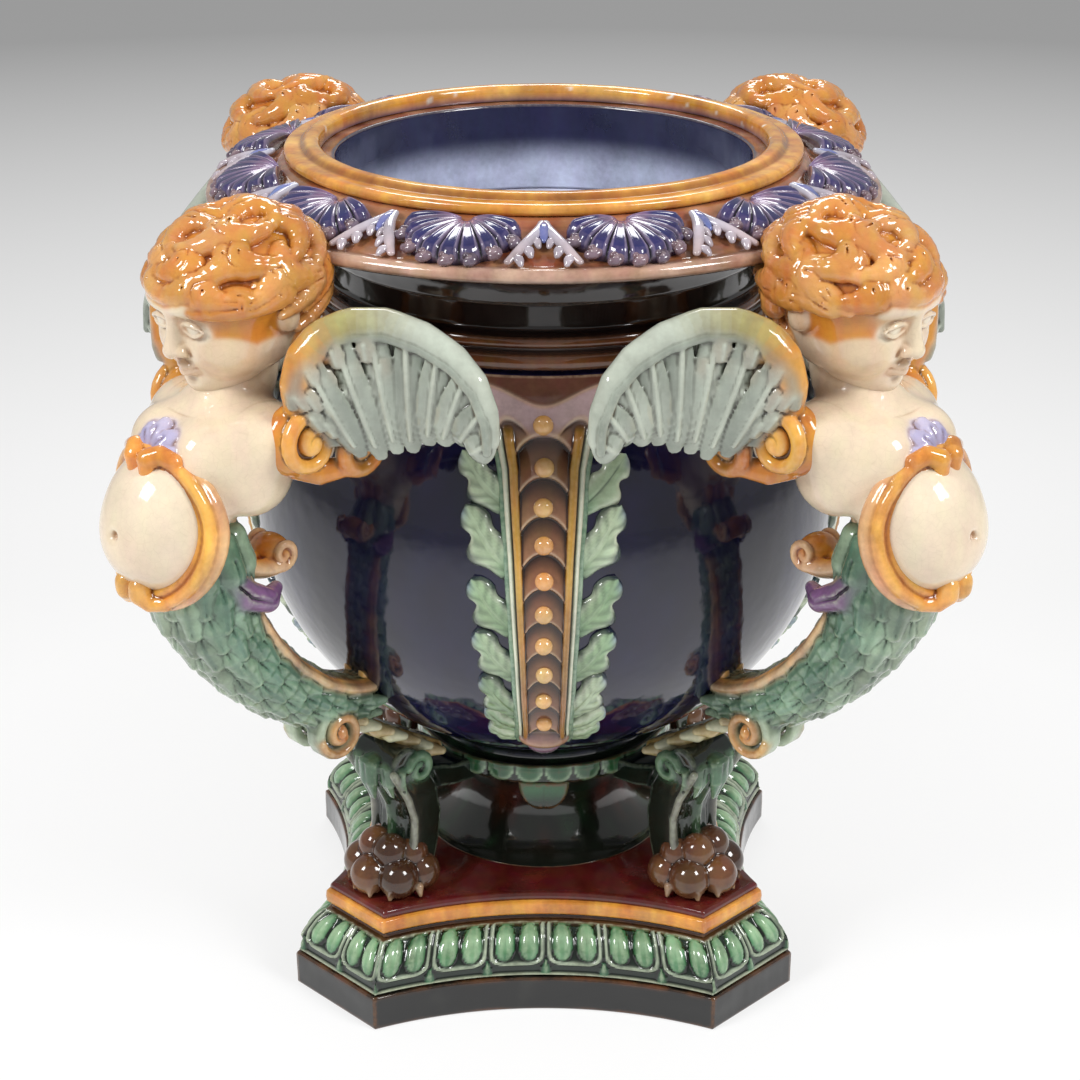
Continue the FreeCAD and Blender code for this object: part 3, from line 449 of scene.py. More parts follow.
GLAZES = {
    "black_glaze": glaze("black_glaze", rough=0.12, pool=0.4, pool_colour=(0.3, 0.2, 0.2), thin=0.7,
                         thin_colour=(0.13, 0.055, 0.02)),
    "green_glaze": glaze("green_glaze", rough=0.1, vary=0.3, pool=0.95, pool_colour=(0.05, 0.09, 0.05), thin=0.4,
                         thin_colour=(0.52, 0.60, 0.42), streak=0.15),
    "brown_glaze": glaze("brown_glaze", rough=0.09, vary=0.3, pool=0.9, pool_colour=(0.10, 0.05, 0.03), thin=0.3,
                         thin_colour=(0.42, 0.22, 0.09), streak=0.1),
    "orange_glaze": glaze("orange_glaze", rough=0.09, vary=0.25, pool=0.9, pool_colour=(0.30, 0.13, 0.05), thin=0.3,
                          thin_colour=(0.88, 0.62, 0.32), streak=0.12),
    "red_glaze": glaze("red_glaze", rough=0.09, vary=0.35, pool=0.5, thin=0.4, thin_colour=(0.28, 0.06, 0.03)),
    "cobalt_glaze": glaze("cobalt_glaze", rough=0.07, vary=0.3, patch=40, pool=0.5, pool_colour=(0.3, 0.3, 0.4),
                          thin=0.3, thin_colour=(0.12, 0.10, 0.28), ripple=0.35),
    "dark_neck_glaze": glaze("dark_neck_glaze", rough=0.09, vary=0.3, pool=0.5, thin=0.5,
                             thin_colour=(0.30, 0.14, 0.06)),
    "lilac_glaze": glaze("lilac_glaze", rough=0.1, vary=0.25, patch=14, pool=0.92, pool_colour=(0.07, 0.05, 0.20),
                         thin=0.22, thin_colour=(0.40, 0.32, 0.42)),
    "leaf_green_glaze": glaze("leaf_green_glaze", rough=0.1, vary=0.25, pool=0.92, pool_colour=(0.08, 0.10, 0.12),
                              thin=0.3, thin_colour=(0.66, 0.72, 0.56)),
    "strap_glaze": glaze("strap_glaze", rough=0.1, vary=0.25, pool=0.9, pool_colour=(0.15, 0.08, 0.06), thin=0.25,
                         thin_colour=(0.66, 0.50, 0.34)),
    "flesh_glaze": glaze("flesh_glaze", rough=0.1, vary=0.08, pool=0.8, pool_colour=(0.45, 0.25, 0.11), thin=0.15,
                         thin_colour=(0.84, 0.73, 0.57), crackle=0.12, pits=0.1),
    "scale_green_glaze": glaze("scale_green_glaze", rough=0.09, vary=0.3, pool=0.92, pool_colour=(0.06, 0.12, 0.08),
                               thin=0.35, thin_colour=(0.58, 0.66, 0.46), streak=0.15),
    "ochre_glaze": glaze("ochre_glaze", rough=0.1, vary=0.3, pool=0.9, pool_colour=(0.18, 0.14, 0.06), thin=0.5,
                         thin_colour=(0.72, 0.66, 0.40)),
    "wing_glaze": glaze("wing_glaze", rough=0.1, vary=0.15, pool=0.92, pool_colour=(0.16, 0.14, 0.12), thin=0.3,
                        thin_colour=(0.60, 0.62, 0.52), streak=0.08),
}


# ---------------------------------------------------------------- sculpting

class Form:
    """One shape of clay: how far points lie from its surface, inside a box, in its own glaze."""

    def __init__(self, low, high, distance, tint):
        self.low, self.high = np.array(low, float), np.array(high, float)
        self.distance, self.tint = distance, np.array(tint, float)


def oval(centre, radii, tint, axes=None):
    """An ellipsoid, with its own axes as rows where it is turned."""
    centre, radii = np.array(centre, float), np.array(radii, float)
    axes = np.eye(3) if axes is None else np.array(axes, float)
    reach = np.sqrt((axes ** 2 * (radii ** 2)[:, None]).sum(0))

    def distance(x, y, z):
        p = [x - centre[0], y - centre[1], z - centre[2]]
        q = [sum(axes[i][k] * p[k] for k in range(3)) for i in range(3)]
        k0 = np.sqrt(sum((q[i] / radii[i]) ** 2 for i in range(3)))
        k1 = np.sqrt(sum((q[i] / radii[i] ** 2) ** 2 for i in range(3)))
        return k0 * (k0 - 1) / np.maximum(k1, 1e-6)

    return Form(centre - reach, centre + reach, distance, tint)


def rod(points, radii, tint, flat=1.0, side=None):
    """A rounded chain through points with a radius at each; flat below 1 thins it across its side direction."""
    points = np.array(points, float)
    radii = np.broadcast_to(np.asarray(radii, float), (len(points),)).copy()
    side = None if side is None else np.array(side, float) / np.linalg.norm(side)

    def distance(x, y, z):
        best = None
        for a, b, ra, rb in zip(points[:-1], points[1:], radii[:-1], radii[1:]):
            ab = b - a
            along = ab @ ab
            px, py, pz = x - a[0], y - a[1], z - a[2]
            t = np.clip((px * ab[0] + py * ab[1] + pz * ab[2]) / max(along, 1e-9), 0, 1)
            qx, qy, qz = px - t * ab[0], py - t * ab[1], pz - t * ab[2]
            if side is None:
                d = np.sqrt(qx * qx + qy * qy + qz * qz) - (ra + t * (rb - ra))
            else:
                # Wide along its side direction, thin across it.
                s = qx * side[0] + qy * side[1] + qz * side[2]
                rest = np.maximum(qx * qx + qy * qy + qz * qz - s * s, 0)
                radius = ra + t * (rb - ra)
                d = (np.sqrt(s * s + rest / (flat * flat)) - radius) * flat
                d = np.where(d > 0, np.minimum(d / flat, d / flat * 1.0 + 0), d)
            best = d if best is None else np.minimum(best, d)
        return best

    reach = radii.max()
    return Form(points.min(0) - reach, points.max(0) + reach, distance, tint)


def ribbon(points, width, thick, side, tint, edge=0.0, lip=0.0):
    """A strap of constant side direction swept along points: width along side, thick across, with raised lips."""
    points = np.array(points, float)
    count = len(points)
    widths = np.broadcast_to(np.asarray(width, float), (count,)) / 2
    thicks = np.broadcast_to(np.asarray(thick, float), (count,)) / 2
    side = np.array(side, float) / np.linalg.norm(side)

    def distance(x, y, z):
        best = None
        for i in range(count - 1):
            a, b = points[i], points[i + 1]
            ab = b - a
            px, py, pz = x - a[0], y - a[1], z - a[2]
            t = np.clip((px * ab[0] + py * ab[1] + pz * ab[2]) / max(ab @ ab, 1e-9), 0, 1)
            qx, qy, qz = px - t * ab[0], py - t * ab[1], pz - t * ab[2]
            s = np.abs(qx * side[0] + qy * side[1] + qz * side[2])
            n = np.sqrt(np.maximum(qx * qx + qy * qy + qz * qz - s * s, 0))
            w = widths[i] + t * (widths[i + 1] - widths[i])
            h = thicks[i] + t * (thicks[i + 1] - thicks[i])
            if lip:
                h = h + lip * np.clip(1 - np.abs(s - (w - edge)) / edge, 0, 1)
            round_off = np.minimum(h, 2.0) * 0.8
            u, v = s - w + round_off, n - h + round_off
            d = np.sqrt(np.maximum(u, 0) ** 2 + np.maximum(v, 0) ** 2) + np.minimum(np.maximum(u, v), 0) - round_off
            best = d if best is None else np.minimum(best, d)
        return best

    reach = widths.max() + thicks.max() + lip
    return Form(points.min(0) - reach, points.max(0) + reach, distance, tint)


class Clay:
    """A block of space in which forms are blended together or carved away, then skinned."""

    def __init__(self, low, high, pitch=0.8):
        self.low, self.pitch = np.array(low, float), pitch
        self.shape = tuple(int(math.ceil((h - l) / pitch)) + 1 for l, h in zip(low, high))
        self.field = np.full(self.shape, 8.0, np.float32)
        self.forms = []

    def near(self, form, margin):
        low = np.maximum(np.floor((form.low - margin - self.low) / self.pitch).astype(int), 0)
        high = np.minimum(np.ceil((form.high + margin - self.low) / self.pitch).astype(int) + 1, self.shape)
        if np.any(high <= low):
            return None
        x, y, z = (self.low[k] + self.pitch * np.arange(low[k], high[k]) for k in range(3))
        return tuple(slice(l, h) for l, h in zip(low, high)), (x[:, None, None], y[None, :, None], z[None, None, :])

    def add(self, form, blend=1.5):
        found = self.near(form, blend + 3)
        if found is None:
            return self
        where, place = found
        d = np.broadcast_to(form.distance(*place), self.field[where].shape)
        old = self.field[where]
        if blend > 0:
            h = np.maximum(blend - np.abs(old - d), 0) / blend
            new = np.minimum(old, d) - h * h * blend * 0.25
        else:
            new = np.minimum(old, d)
        self.field[where] = new
        self.forms.append(form)
        return self

    def carve(self, form, blend=1.0, colour=False):
        found = self.near(form, blend + 1)
        if found is None:
            return self
        where, place = found
        d = -np.broadcast_to(form.distance(*place), self.field[where].shape)
        old = self.field[where]
        h = np.maximum(blend - np.abs(old - d), 0) / max(blend, 1e-6)
        self.field[where] = np.maximum(old, d) + h * h * blend * 0.25
        if colour:
            self.forms.append(form)
        return self

    def trim(self, distance):
        """Keeps what lies inside another shape, given as a function of x, y and z."""
        x, y, z = (self.low[k] + self.pitch * np.arange(self.shape[k]) for k in range(3))
        self.field = np.maximum(self.field, distance(x[:, None, None], y[None, :, None], z[None, None, :])
                                .astype(np.float32))
        return self

    def skin(self, bleed=0.7, paint=None, base=(0.5, 0.5, 0.5)):
        """The surface as points, quads and colours."""
        field = self.field
        field[0], field[-1], field[:, 0], field[:, -1], field[:, :, 0], field[:, :, -1] = (8.0,) * 6
        grid = openvdb.FloatGrid(8.0)
        grid.copyFromArray(np.clip(field, -4, 8).astype(np.float32))
        points, quads = grid.convertToQuads(isovalue=0.0)
        points = points.astype(float) * self.pitch + self.low
        a, b, c = points[quads[:, 0]], points[quads[:, 1]], points[quads[:, 2]]
        if np.einsum("ij,ij->i", a, np.cross(b, c)).sum() < 0:
            quads = quads[:, ::-1]
        weight = np.full(len(points), 1e-6)
        total = np.array(base, float)[None] * weight[:, None]
        for form in self.forms:
            inside = np.all((points > form.low - 3) & (points < form.high + 3), axis=1)
            if not inside.any():
                continue
            p = points[inside]
            d = form.distance(p[:, 0], p[:, 1], p[:, 2])
            w = np.exp(-np.clip(d, -3, 8) / bleed)
            tint = form.paint(p) if hasattr(form, "paint") else form.tint[None]
            total[inside] += w[:, None] * tint
            weight[inside] += w
        tints = total / weight[:, None]
        if paint:
            tints = paint(points, tints)
        return points, quads, tints


def corner_pieces(role, skinned, slot, material, rounds=6):
    """The same modelled piece at each of the four handles or legs."""
    points, quads, tints = skinned
    for corner, azimuth in CORNERS.items():
        node = "%s_%s" % (role, corner)
        body = "stand" if role.startswith("lion") else "jardiniere"
        build("seen_" + node, turned(points, azimuth), quads, tints, body, [node], slot, material, rounds=rounds,
              tidy=False)


# ---------------------------------------------------------------- camera and light

def area_light(name, place, target, size, power, colour=(1, 1, 1)):
    data = bpy.data.lights.new(name, "AREA")
    data.shape, data.size, data.size_y, data.energy, data.color = "RECTANGLE", size[0], size[1], power, colour
    lamp = bpy.data.objects.new(name, data)
    lamp.location = place
    lamp.rotation_euler = (Vector(target) - Vector(place)).to_track_quat("-Z", "Y").to_euler()
    bpy.context.scene.collection.objects.link(lamp)
    return lamp


def seen_directly(tree):
    """1 for camera, glossy and transmission rays."""
    path = tree.nodes.new("ShaderNodeLightPath")
    both = link_math(tree, "MAXIMUM", path.outputs["Is Camera Ray"], path.outputs["Is Glossy Ray"])
    return link_math(tree, "MAXIMUM", both, path.outputs["Is Transmission Ray"])


def studio():
    scene = bpy.context.scene
    scene.view_settings.view_transform = "Standard"
    camera = bpy.data.cameras.new("camera")
    camera.lens, camera.sensor_width, camera.shift_x = 76.53, 36, -0.0036
    camera.clip_start, camera.clip_end = 0.05, 50
    thing = bpy.data.objects.new("camera", camera)
    thing.location = (0, -1.0236, 0.6376)
    thing.rotation_euler = (math.pi / 2 - 0.4039, 0, 0)
    scene.collection.objects.link(thing)
    scene.camera = thing

    mesh = bpy.data.meshes.new("floor")
    ring = [(r * math.cos(a), r * math.sin(a), 0) for r in (1.0, 9.0) for a in np.linspace(0, 2 * math.pi, 48, False)]
    faces = [tuple(range(48))] + [(i, (i + 1) % 48, 48 + (i + 1) % 48, 48 + i) for i in range(48)]
    mesh.from_pydata(ring, [], faces)
    floor = bpy.data.objects.new("floor", mesh)
    scene.collection.objects.link(floor)
    material = bpy.data.materials.new("floor")
    material.use_nodes = True
    tree = material.node_tree
    tree.nodes.clear()
    where = tree.nodes.new("ShaderNodeTexCoord").outputs["Object"]
    length = tree.nodes.new("ShaderNodeVectorMath")
    length.operation = "LENGTH"
    tree.links.new(where, length.inputs[0])
    fade = link_range(tree, length.outputs["Value"], 0.4, 2.4, 0, 1)
    grain = link_noise(tree, where, 60, 2.0)
    colour = link_mix(tree, "MIX", fade, (0.96, 0.96, 0.96), (0.37, 0.37, 0.37))
    colour = link_mix(tree, "MULTIPLY", link_range(tree, grain.outputs["Fac"], 0.3, 0.7, 0, 0.02), colour,
                      (0.9, 0.9, 0.9))
    matt = tree.nodes.new("ShaderNodeBsdfDiffuse")
    matt.inputs["Roughness"].default_value = 0.4
    tree.links.new(colour, matt.inputs["Color"])
    glow = tree.nodes.new("ShaderNodeEmission")
    tree.links.new(colour, glow.inputs["Color"])
    blend = tree.nodes.new("ShaderNodeMixShader")
    tree.links.new(link_math(tree, "MULTIPLY", seen_directly(tree), 0.72), blend.inputs[0])
    tree.links.new(matt.outputs[0], blend.inputs[1])
    tree.links.new(glow.outputs[0], blend.inputs[2])
    output = tree.nodes.new("ShaderNodeOutputMaterial")
    tree.links.new(blend.outputs[0], output.inputs["Surface"])
    mesh.materials.append(material)

    world = bpy.data.worlds.new("studio")
    scene.world = world
    world.use_nodes = True
    tree = world.node_tree
    tree.nodes.clear()
    pale = tree.nodes.new("ShaderNodeBackground")
    pale.inputs["Color"].default_value = (1.0, 1.0, 1.0, 1)
    pale.inputs["Strength"].default_value = 0.5
    seen = tree.nodes.new("ShaderNodeBackground")
    seen.inputs["Color"].default_value = (0.37, 0.37, 0.37, 1)
    seen.inputs["Strength"].default_value = 1.0
    blend = tree.nodes.new("ShaderNodeMixShader")
    tree.links.new(seen_directly(tree), blend.inputs[0])
    tree.links.new(pale.outputs[0], blend.inputs[1])
    tree.links.new(seen.outputs[0], blend.inputs[2])
    output = tree.nodes.new("ShaderNodeOutputWorld")
    tree.links.new(blend.outputs[0], output.inputs["Surface"])

    area_light("left_box", (-1.0, -0.75, 1.25), (0, 0, 0.24), (0.42, 0.55), 14)
    area_light("right_box", (1.0, -0.75, 1.25), (0, 0, 0.24), (0.42, 0.55), 14)
    area_light("back_box", (0.0, 1.3, 1.5), (0, 0, 0.24), (0.8, 0.5), 10)


studio()


# ---------------------------------------------------------------- plinth

def grid_normals(points, wrap_u=False, wrap_v=False):
    """The unit normal at each point of a sheet."""
    def slope(axis, wrap):
        if wrap:
            return np.roll(points, -1, axis) - np.roll(points, 1, axis)
        return np.gradient(points, axis=axis)
    normal = np.cross(slope(0, wrap_u), slope(1, wrap_v))
    return normal / np.maximum(np.linalg.norm(normal, axis=-1), 1e-9)[..., None]


def plinth_outline(inset, gap=1.6):
    """The plinth's outline, a square with cut corners and hollow sides, drawn in by an inset."""
    half, flat, waist = PLINTH_HALF - inset, PLINTH_FLAT - 0.26 * inset, PLINTH_HALF - PLINTH_HOLLOW - inset
    side = int(2 * PLINTH_FLAT / gap)
    chamfer = int((PLINTH_HALF - PLINTH_FLAT) * 1.414 / gap)
    points = []
    for azimuth in (-90, 0, 90, 180):
        arc = arc_between((-flat, half), (0, waist), (flat, half), side)[::-1]
        a, b = np.array((-flat, half)), np.array((-half, flat))
        corner = [tuple(a + (b - a) * t) for t in np.linspace(0, 1, chamfer + 1)[1:]]
        t = math.radians(azimuth)
        points += [(x * math.cos(t) - y * math.sin(t), x * math.sin(t) + y * math.cos(t)) for x, y in arc + corner[:-1]]
    return np.array(points)


def plinth_sheet(profile, outline_gap):
    """The outline swept through (inset, level) points."""
    lines = [plinth_outline(inset, outline_gap) for inset, level in profile]
    return np.stack([np.concatenate([line, np.full((len(line), 1), level)], 1)
                     for line, (inset, level) in zip(lines, profile)], 0)


def plinth_course(name, node, profile, slot, paint, relief=None, closed=True, gap=1.0, cap=False,
                  outline_gap=1.6):
    path = resampled(list(profile) + ([profile[0]] if closed else []), gap)
    if closed:
        path = path[:-1]
    sheet = plinth_sheet(path, outline_gap)
    normal = grid_normals(sheet, closed, True)
    normal = -normal
    along = np.concatenate([[0], np.cumsum(np.linalg.norm(np.diff(plinth_outline(0, outline_gap), axis=0), axis=1))])
    along = np.broadcast_to(along[None], sheet.shape[:2])
    if relief is not None:
        sheet = sheet + normal * relief(along, path, sheet)[..., None]
    heap = Heap()
    heap.grid(sheet, paint(along, path, sheet), wrap_u=closed, wrap_v=True)
    if cap:
        for end in (0, -1):
            ring = sheet[end]
            centre = np.array([0, 0, ring[:, 2].mean()])
            disc = np.stack([centre + (ring - centre) * t for t in np.linspace(1, 0, 24)], 0)
            flat_path = np.stack([np.zeros(24), np.full(24, centre[2])], 1)
            heap.grid(disc, paint(np.broadcast_to(along[0][None], disc.shape[:2]), flat_path, disc), wrap_v=True)
    return heap.build(name, "stand", [node], slot, GLAZES[slot])


def plinth():
    inner = 32.0

    def foot_paint(along, path, sheet):
        level = sheet[..., 2]
        flat = sheet.reshape(-1, 3)
        worn = noise3(flat, 14, 3).reshape(level.shape)
        edge = np.maximum(bump(17.7, 2.6, level), bump(0, 2.4, level)) * step(-0.3, 0.5, worn)
        base = np.broadcast_to(np.array(BLACK), sheet.shape)
        base = mix(base, np.array((0.12, 0.045, 0.018)), edge * 0.9)
        return mix(base, np.array((0.03, 0.03, 0.025)), step(0.2, 0.7, noise3(flat, 30, 5).reshape(level.shape)) * 0.5)

    foot = rounded([(inner, 0), (0, 0), (0, 17.7), (inner, 17.7)], 1.6, closed=True)
    plinth_course("seen_plinth_foot", "plinth_foot", foot, "black_glaze", foot_paint,
                  relief=lambda along, path, sheet: (0.25 * noise3(sheet.reshape(-1, 3), 22, 1).reshape(along.shape) - 0.25)
                  * step(0.3, 2.0, sheet[..., 2]))

    total = np.linalg.norm(np.diff(np.vstack([plinth_outline(0), plinth_outline(0)[:1]]), axis=0), axis=1).sum()
    pitch = total / 32

    def leaves(along, height):
        """The moulding's pairs of leaf lobes, the lip round each pair, and the darts that rise between pairs."""
        u = np.abs((along / pitch) % 1.0 - 0.5)
        t = np.clip((height - 17.7) / 22.3, 0, 1)
        rise = (t - 0.68) / np.where(t > 0.68, 0.36, 0.33)
        lobe = np.sqrt(np.clip(1 - ((u - 0.215) / 0.185) ** 2 - rise ** 2, 0, 1))
        around = ((u / 0.445) ** 4 + (np.clip(0.68 - t, 0, 1) / 0.385) ** 4) ** 0.25
        lip = np.exp(-((around - 1) / 0.075) ** 2)
        dart = np.clip(1 - (0.5 - u) / (0.14 * np.clip((0.40 - t) / 0.40, 0, 1) ** 0.8 + 1e-3), 0, 1)
        return u, t, lobe, lip, dart

    def leaf_relief(along, path, sheet):
        u, t, lobe, lip, dart = leaves(along, sheet[..., 2])
        vein = 0.5 * np.exp(-((u - 0.215) / 0.03) ** 2) * lobe
        raised = np.maximum.reduce([3.1 * lobe - vein, 2.3 * lip, 1.7 * dart ** 0.6, 2.0 * bump(0.03, 0.06, t)])
        return np.where((path[:, 0] < 15.0)[:, None], raised - 2.3, -0.4)

    def leaf_paint(along, path, sheet):
        u, t, lobe, lip, dart = leaves(along, sheet[..., 2])
        cloud = noise3(sheet.reshape(-1, 3), 26, 8).reshape(u.shape)
        colour = np.broadcast_to(np.array((0.007, 0.022, 0.012)), sheet.shape)
        leaf = mix(np.array((0.05, 0.17, 0.07)), np.array((0.17, 0.33, 0.17)), step(-0.5, 0.6, cloud))
        # Paler green on the upper crest of each lobe is a painted highlight.
        leaf = mix(leaf, np.array((0.34, 0.48, 0.30)), step(0.55, 0.95, lobe) * step(0.45, 0.8, t) * 0.6)
        colour = mix(colour, leaf, step(0.05, 0.35, lobe))
        colour = mix(colour, np.array((0.03, 0.12, 0.05)), step(0.1, 0.6, dart))
        colour = mix(colour, np.array((0.50, 0.58, 0.44)), lip * (0.45 + 0.4 * step(-0.4, 0.5, cloud)))
        colour = mix(colour, np.array((0.48, 0.50, 0.34)), bump(0.03, 0.05, t) * 0.8)
        return mix(colour, np.array((0.09, 0.04, 0.015)), (path[:, 0] > 15.0)[:, None] * np.ones_like(u))

    slope = [(inner, 17.7), (1.6, 17.7), (1, 19), (1.0, 22.2), (2.0, 26), (4.6, 31), (8.6, 36), (13.6, 40), (inner, 40)]
    plinth_course("seen_leaf_moulding", "leaf_moulding", slope, "green_glaze", leaf_paint, relief=leaf_relief, gap=0.95,
                  outline_gap=1.0)

    def plain(colour, second, seed):
        def paint(along, path, sheet):
            cloud = noise3(sheet.reshape(-1, 3), 24, seed).reshape(along.shape)
            return mix(np.broadcast_to(np.array(colour, float), sheet.shape), np.array(second), step(-0.2, 0.8, cloud))
        return paint

    plinth_course("seen_plinth_cove", "plinth_cove", rounded([(inner, 40), (17.5, 40), (18.6, 41.5), (17.5, 43), (inner, 43)],
                  0.4, closed=True), "brown_glaze", plain((0.05, 0.02, 0.012), (0.10, 0.035, 0.015), 11), gap=0.7)
    band = [(17.2, 43), (15.6, 43.4), (15.25, 46.5), (15.6, 49.6), (17.2, 50.1)]
    plinth_course("seen_plinth_band", "plinth_band", band, "orange_glaze", plain(AMBER, (0.72, 0.34, 0.08), 12),
                  closed=False, gap=0.7, cap=True)
    top = [(18.0, 50.1), (17.55, 50.4), (17.55, 52.4), (18.6, 53.7), (20.2, 53.9)]
    plinth_course("seen_plinth_top", "plinth_top", top, "red_glaze", plain(MAROON, (0.13, 0.02, 0.012), 13),
                  closed=False, gap=0.7, cap=True)


plinth()


# ---------------------------------------------------------------- stand column

def column():
    """The waisted core under the crown ring, dark outside with a reddish run of glaze."""
    low, high = PLINTH_TOP, PLINTH_TOP + 45.1

    def paint(a, r, z, height):
        points = np.stack([r * np.cos(a), r * np.sin(a), z], -1).reshape(-1, 3)
        run = noise3(points * np.array([1, 1, 0.3]), 26, 21).reshape(z.shape)
        base = mix(np.broadcast_to(np.array((0.012, 0.014, 0.010)), (*z.shape, 3)), np.array((0.10, 0.018, 0.010)),
                   step(-0.1, 0.8, run) * step(low, low + 20, z))
        return mix(base, np.array((0.02, 0.06, 0.025)), step(0.1, 0.8, -run) * 0.7)

    waist = arc_between((62, low), (42, (low + high) / 2), (56, high), 40)
    heap = lathe([(0, low)] + waist + [(0, high)], 256, 1.0, tint=paint,
                 relief=lambda a, r, z: np.where((r > 30) & (z > low + 0.5) & (z < high - 0.5), -0.3, 0.0))
    heap.build("seen_stand_column", "stand", ["stand_column"], "black_glaze", GLAZES["black_glaze"])


column()


# ---------------------------------------------------------------- bowl, neck, collar and rim

def bowl_arc(count=80):
    """The bowl's outside from its foot to the shoulder."""
    return arc_between(BOWL_LOW, (BELLY_RADIUS, BELLY_LEVEL), BOWL_HIGH, count)


def inward(points, wall):
    """A line moved inwards by a wall."""
    path = np.array(points, float)
    tangent = np.gradient(path, axis=0)
    tangent /= np.linalg.norm(tangent, axis=1)[:, None]
    return path + np.stack([-tangent[:, 1], tangent[:, 0]], 1) * wall


# Inside colours: pale lavender glaze, and for the band under the rim navy glaze with painted shade from the rim.
INSIDE_PALE, INSIDE_NAVY_AND_RIM_SHADE = np.array((0.50, 0.54, 0.70)), np.array((0.014, 0.015, 0.05))


def inside_paint(z, shape):
    """The pot's inside: navy glaze darkened by painted shade under the rim, fading down into pale lavender."""
    return mix(np.broadcast_to(INSIDE_PALE, shape), INSIDE_NAVY_AND_RIM_SHADE, step(COLLAR_TOP - 34, COLLAR_TOP - 15, z))


def vessel():
    outside = bowl_arc()
    inside = inward(outside, 8.0)
    inside = inside[(inside[:, 0] > 50) & (inside[:, 1] < BOWL_HIGH[1])]
    BOWL_LEVELS, BOWL_RADII = [p[1] for p in outside], [p[0] for p in outside]

    def bowl_paint(a, r, z, height):
        points = np.stack([r * np.cos(a), r * np.sin(a), z], -1).reshape(-1, 3)
        cloud = noise3(points * np.array([1, 1, 0.45]), 60, 31).reshape(z.shape)
        deep = mix(np.broadcast_to(np.array(COBALT), (*z.shape, 3)), np.array((0.008, 0.008, 0.042)),
                   step(-0.5, 0.6, cloud))
        deep = mix(deep, np.array((0.025, 0.02, 0.08)), step(SEAT + 190, SEAT + 216, z) * 0.5)
        outer = np.interp(z, BOWL_LEVELS, BOWL_RADII) - 4.0
        return np.where(((r < outer) & (z > SEAT + 10.5))[..., None], inside_paint(z, deep.shape), deep)

    profile = [(0, SEAT + 9)] + [tuple(p) for p in outside] + [(94, SEAT + 216)] \
        + [tuple(p) for p in inside[::-1]] + [(0, inside[0][1])]
    lathe(profile, 288, 2.2, tint=bowl_paint).build(
        "seen_bowl", "jardiniere", ["bowl"], "cobalt_glaze", GLAZES["cobalt_glaze"])

    def neck_paint(a, r, z, height):
        base = np.broadcast_to(np.array((0.018, 0.010, 0.009)), (*z.shape, 3))
        ring = np.maximum(bump(NECK_LOW + 4.5, 4.4, z), bump(NECK_LOW + 12, 3.0, z)) * step(99, 103, r)
        colour = mix(base, np.array((0.16, 0.055, 0.016)), ring * 0.8)
        return np.where((r < 95.5)[..., None], inside_paint(z, colour.shape), colour)

    neck = [(94, NECK_LOW), (104, NECK_LOW), (107.2, NECK_LOW + 1.4), (108, NECK_LOW + 4.5), (107, NECK_LOW + 7.8),
            (104.2, NECK_LOW + 8.8), (103.4, NECK_LOW + 9.4), (104.5, NECK_LOW + 11.6), (103.6, NECK_LOW + 14.4),
            (99.0, NECK_LOW + 15.6), (98, NECK_LOW + 17), (98, NECK_HIGH), (94, NECK_HIGH)]
    lathe(rounded(neck, 1.0, closed=True), 360, 0.8, tint=neck_paint, closed=True).build(
        "seen_neck", "jardiniere", ["neck"], "dark_neck_glaze", GLAZES["dark_neck_glaze"])

    def rim_relief(a, r, z):
        points = np.stack([r * np.cos(a), r * np.sin(a), z], -1).reshape(-1, 3)
        return 0.12 * noise3(points, 30, 41).reshape(z.shape) - 0.12

    def rim_paint(a, r, z, height):
        points = np.stack([r * np.cos(a), r * np.sin(a), z], -1).reshape(-1, 3)
        cloud = noise3(points, 34, 42).reshape(z.shape)
        spot = noise3(points, 9, 43).reshape(z.shape)
        base = mix(np.broadcast_to(np.array((0.60, 0.24, 0.035)), (*z.shape, 3)), np.array((0.78, 0.42, 0.11)),
                   step(-0.4, 0.8, cloud))
        step_line = np.exp(-((r - 108.6) / 1.3) ** 2)
        base = mix(base, np.array((0.24, 0.08, 0.015)), step_line * 0.75)
        chip = step(0.45, 0.62, spot) * np.exp(-((r - 101.8) / 1.9) ** 2)
        base = mix(base, np.array((0.86, 0.80, 0.68)), chip)
        # Navy low on the rim's inner face: navy glaze with painted shade under the rim, as inside the pot.
        return mix(base, np.array((0.05, 0.045, 0.13)), step(COLLAR_TOP + 5, COLLAR_TOP - 1, z) * (r < 101.5))

    top = COLLAR_TOP + RIM_HEIGHT
    rim = [(RIM_OPENING, COLLAR_TOP), (RIM_RADIUS - 1.5, COLLAR_TOP), (RIM_RADIUS, COLLAR_TOP + 1.6),
           (RIM_RADIUS - 0.4, COLLAR_TOP + 4.2), (RIM_RADIUS - 2.2, COLLAR_TOP + 5.1), (109.2, COLLAR_TOP + 5.2),
           (108.4, COLLAR_TOP + 6.4), (107.0, top - 0.2), (103.4, top), (101.2, top - 1.0), (RIM_OPENING, top - 3)]
    lathe(rounded(rim, 0.8, closed=True), 384, 0.7, tint=rim_paint, relief=rim_relief, closed=True).build(
        "seen_rim", "jardiniere", ["rim"], "orange_glaze", GLAZES["orange_glaze"])


vessel()

# ---------------------------------------------------------------- handles: modelled along +X, then turned to the corners

HEAD = np.array((178.0, 0.0, 363.5))
TILT = math.radians(14)
AHEAD = np.array((math.cos(TILT), 0, -math.sin(TILT)))
UP = np.array((math.sin(TILT), 0, math.cos(TILT)))
ACROSS = np.array((0.0, 1.0, 0.0))
HEAD_AXES = np.array((AHEAD, ACROSS, UP))


def on_head(ahead, across, up):
    """A point given from the middle of the head: forwards, sideways and upwards."""
    return HEAD + AHEAD * ahead + ACROSS * across + UP * up


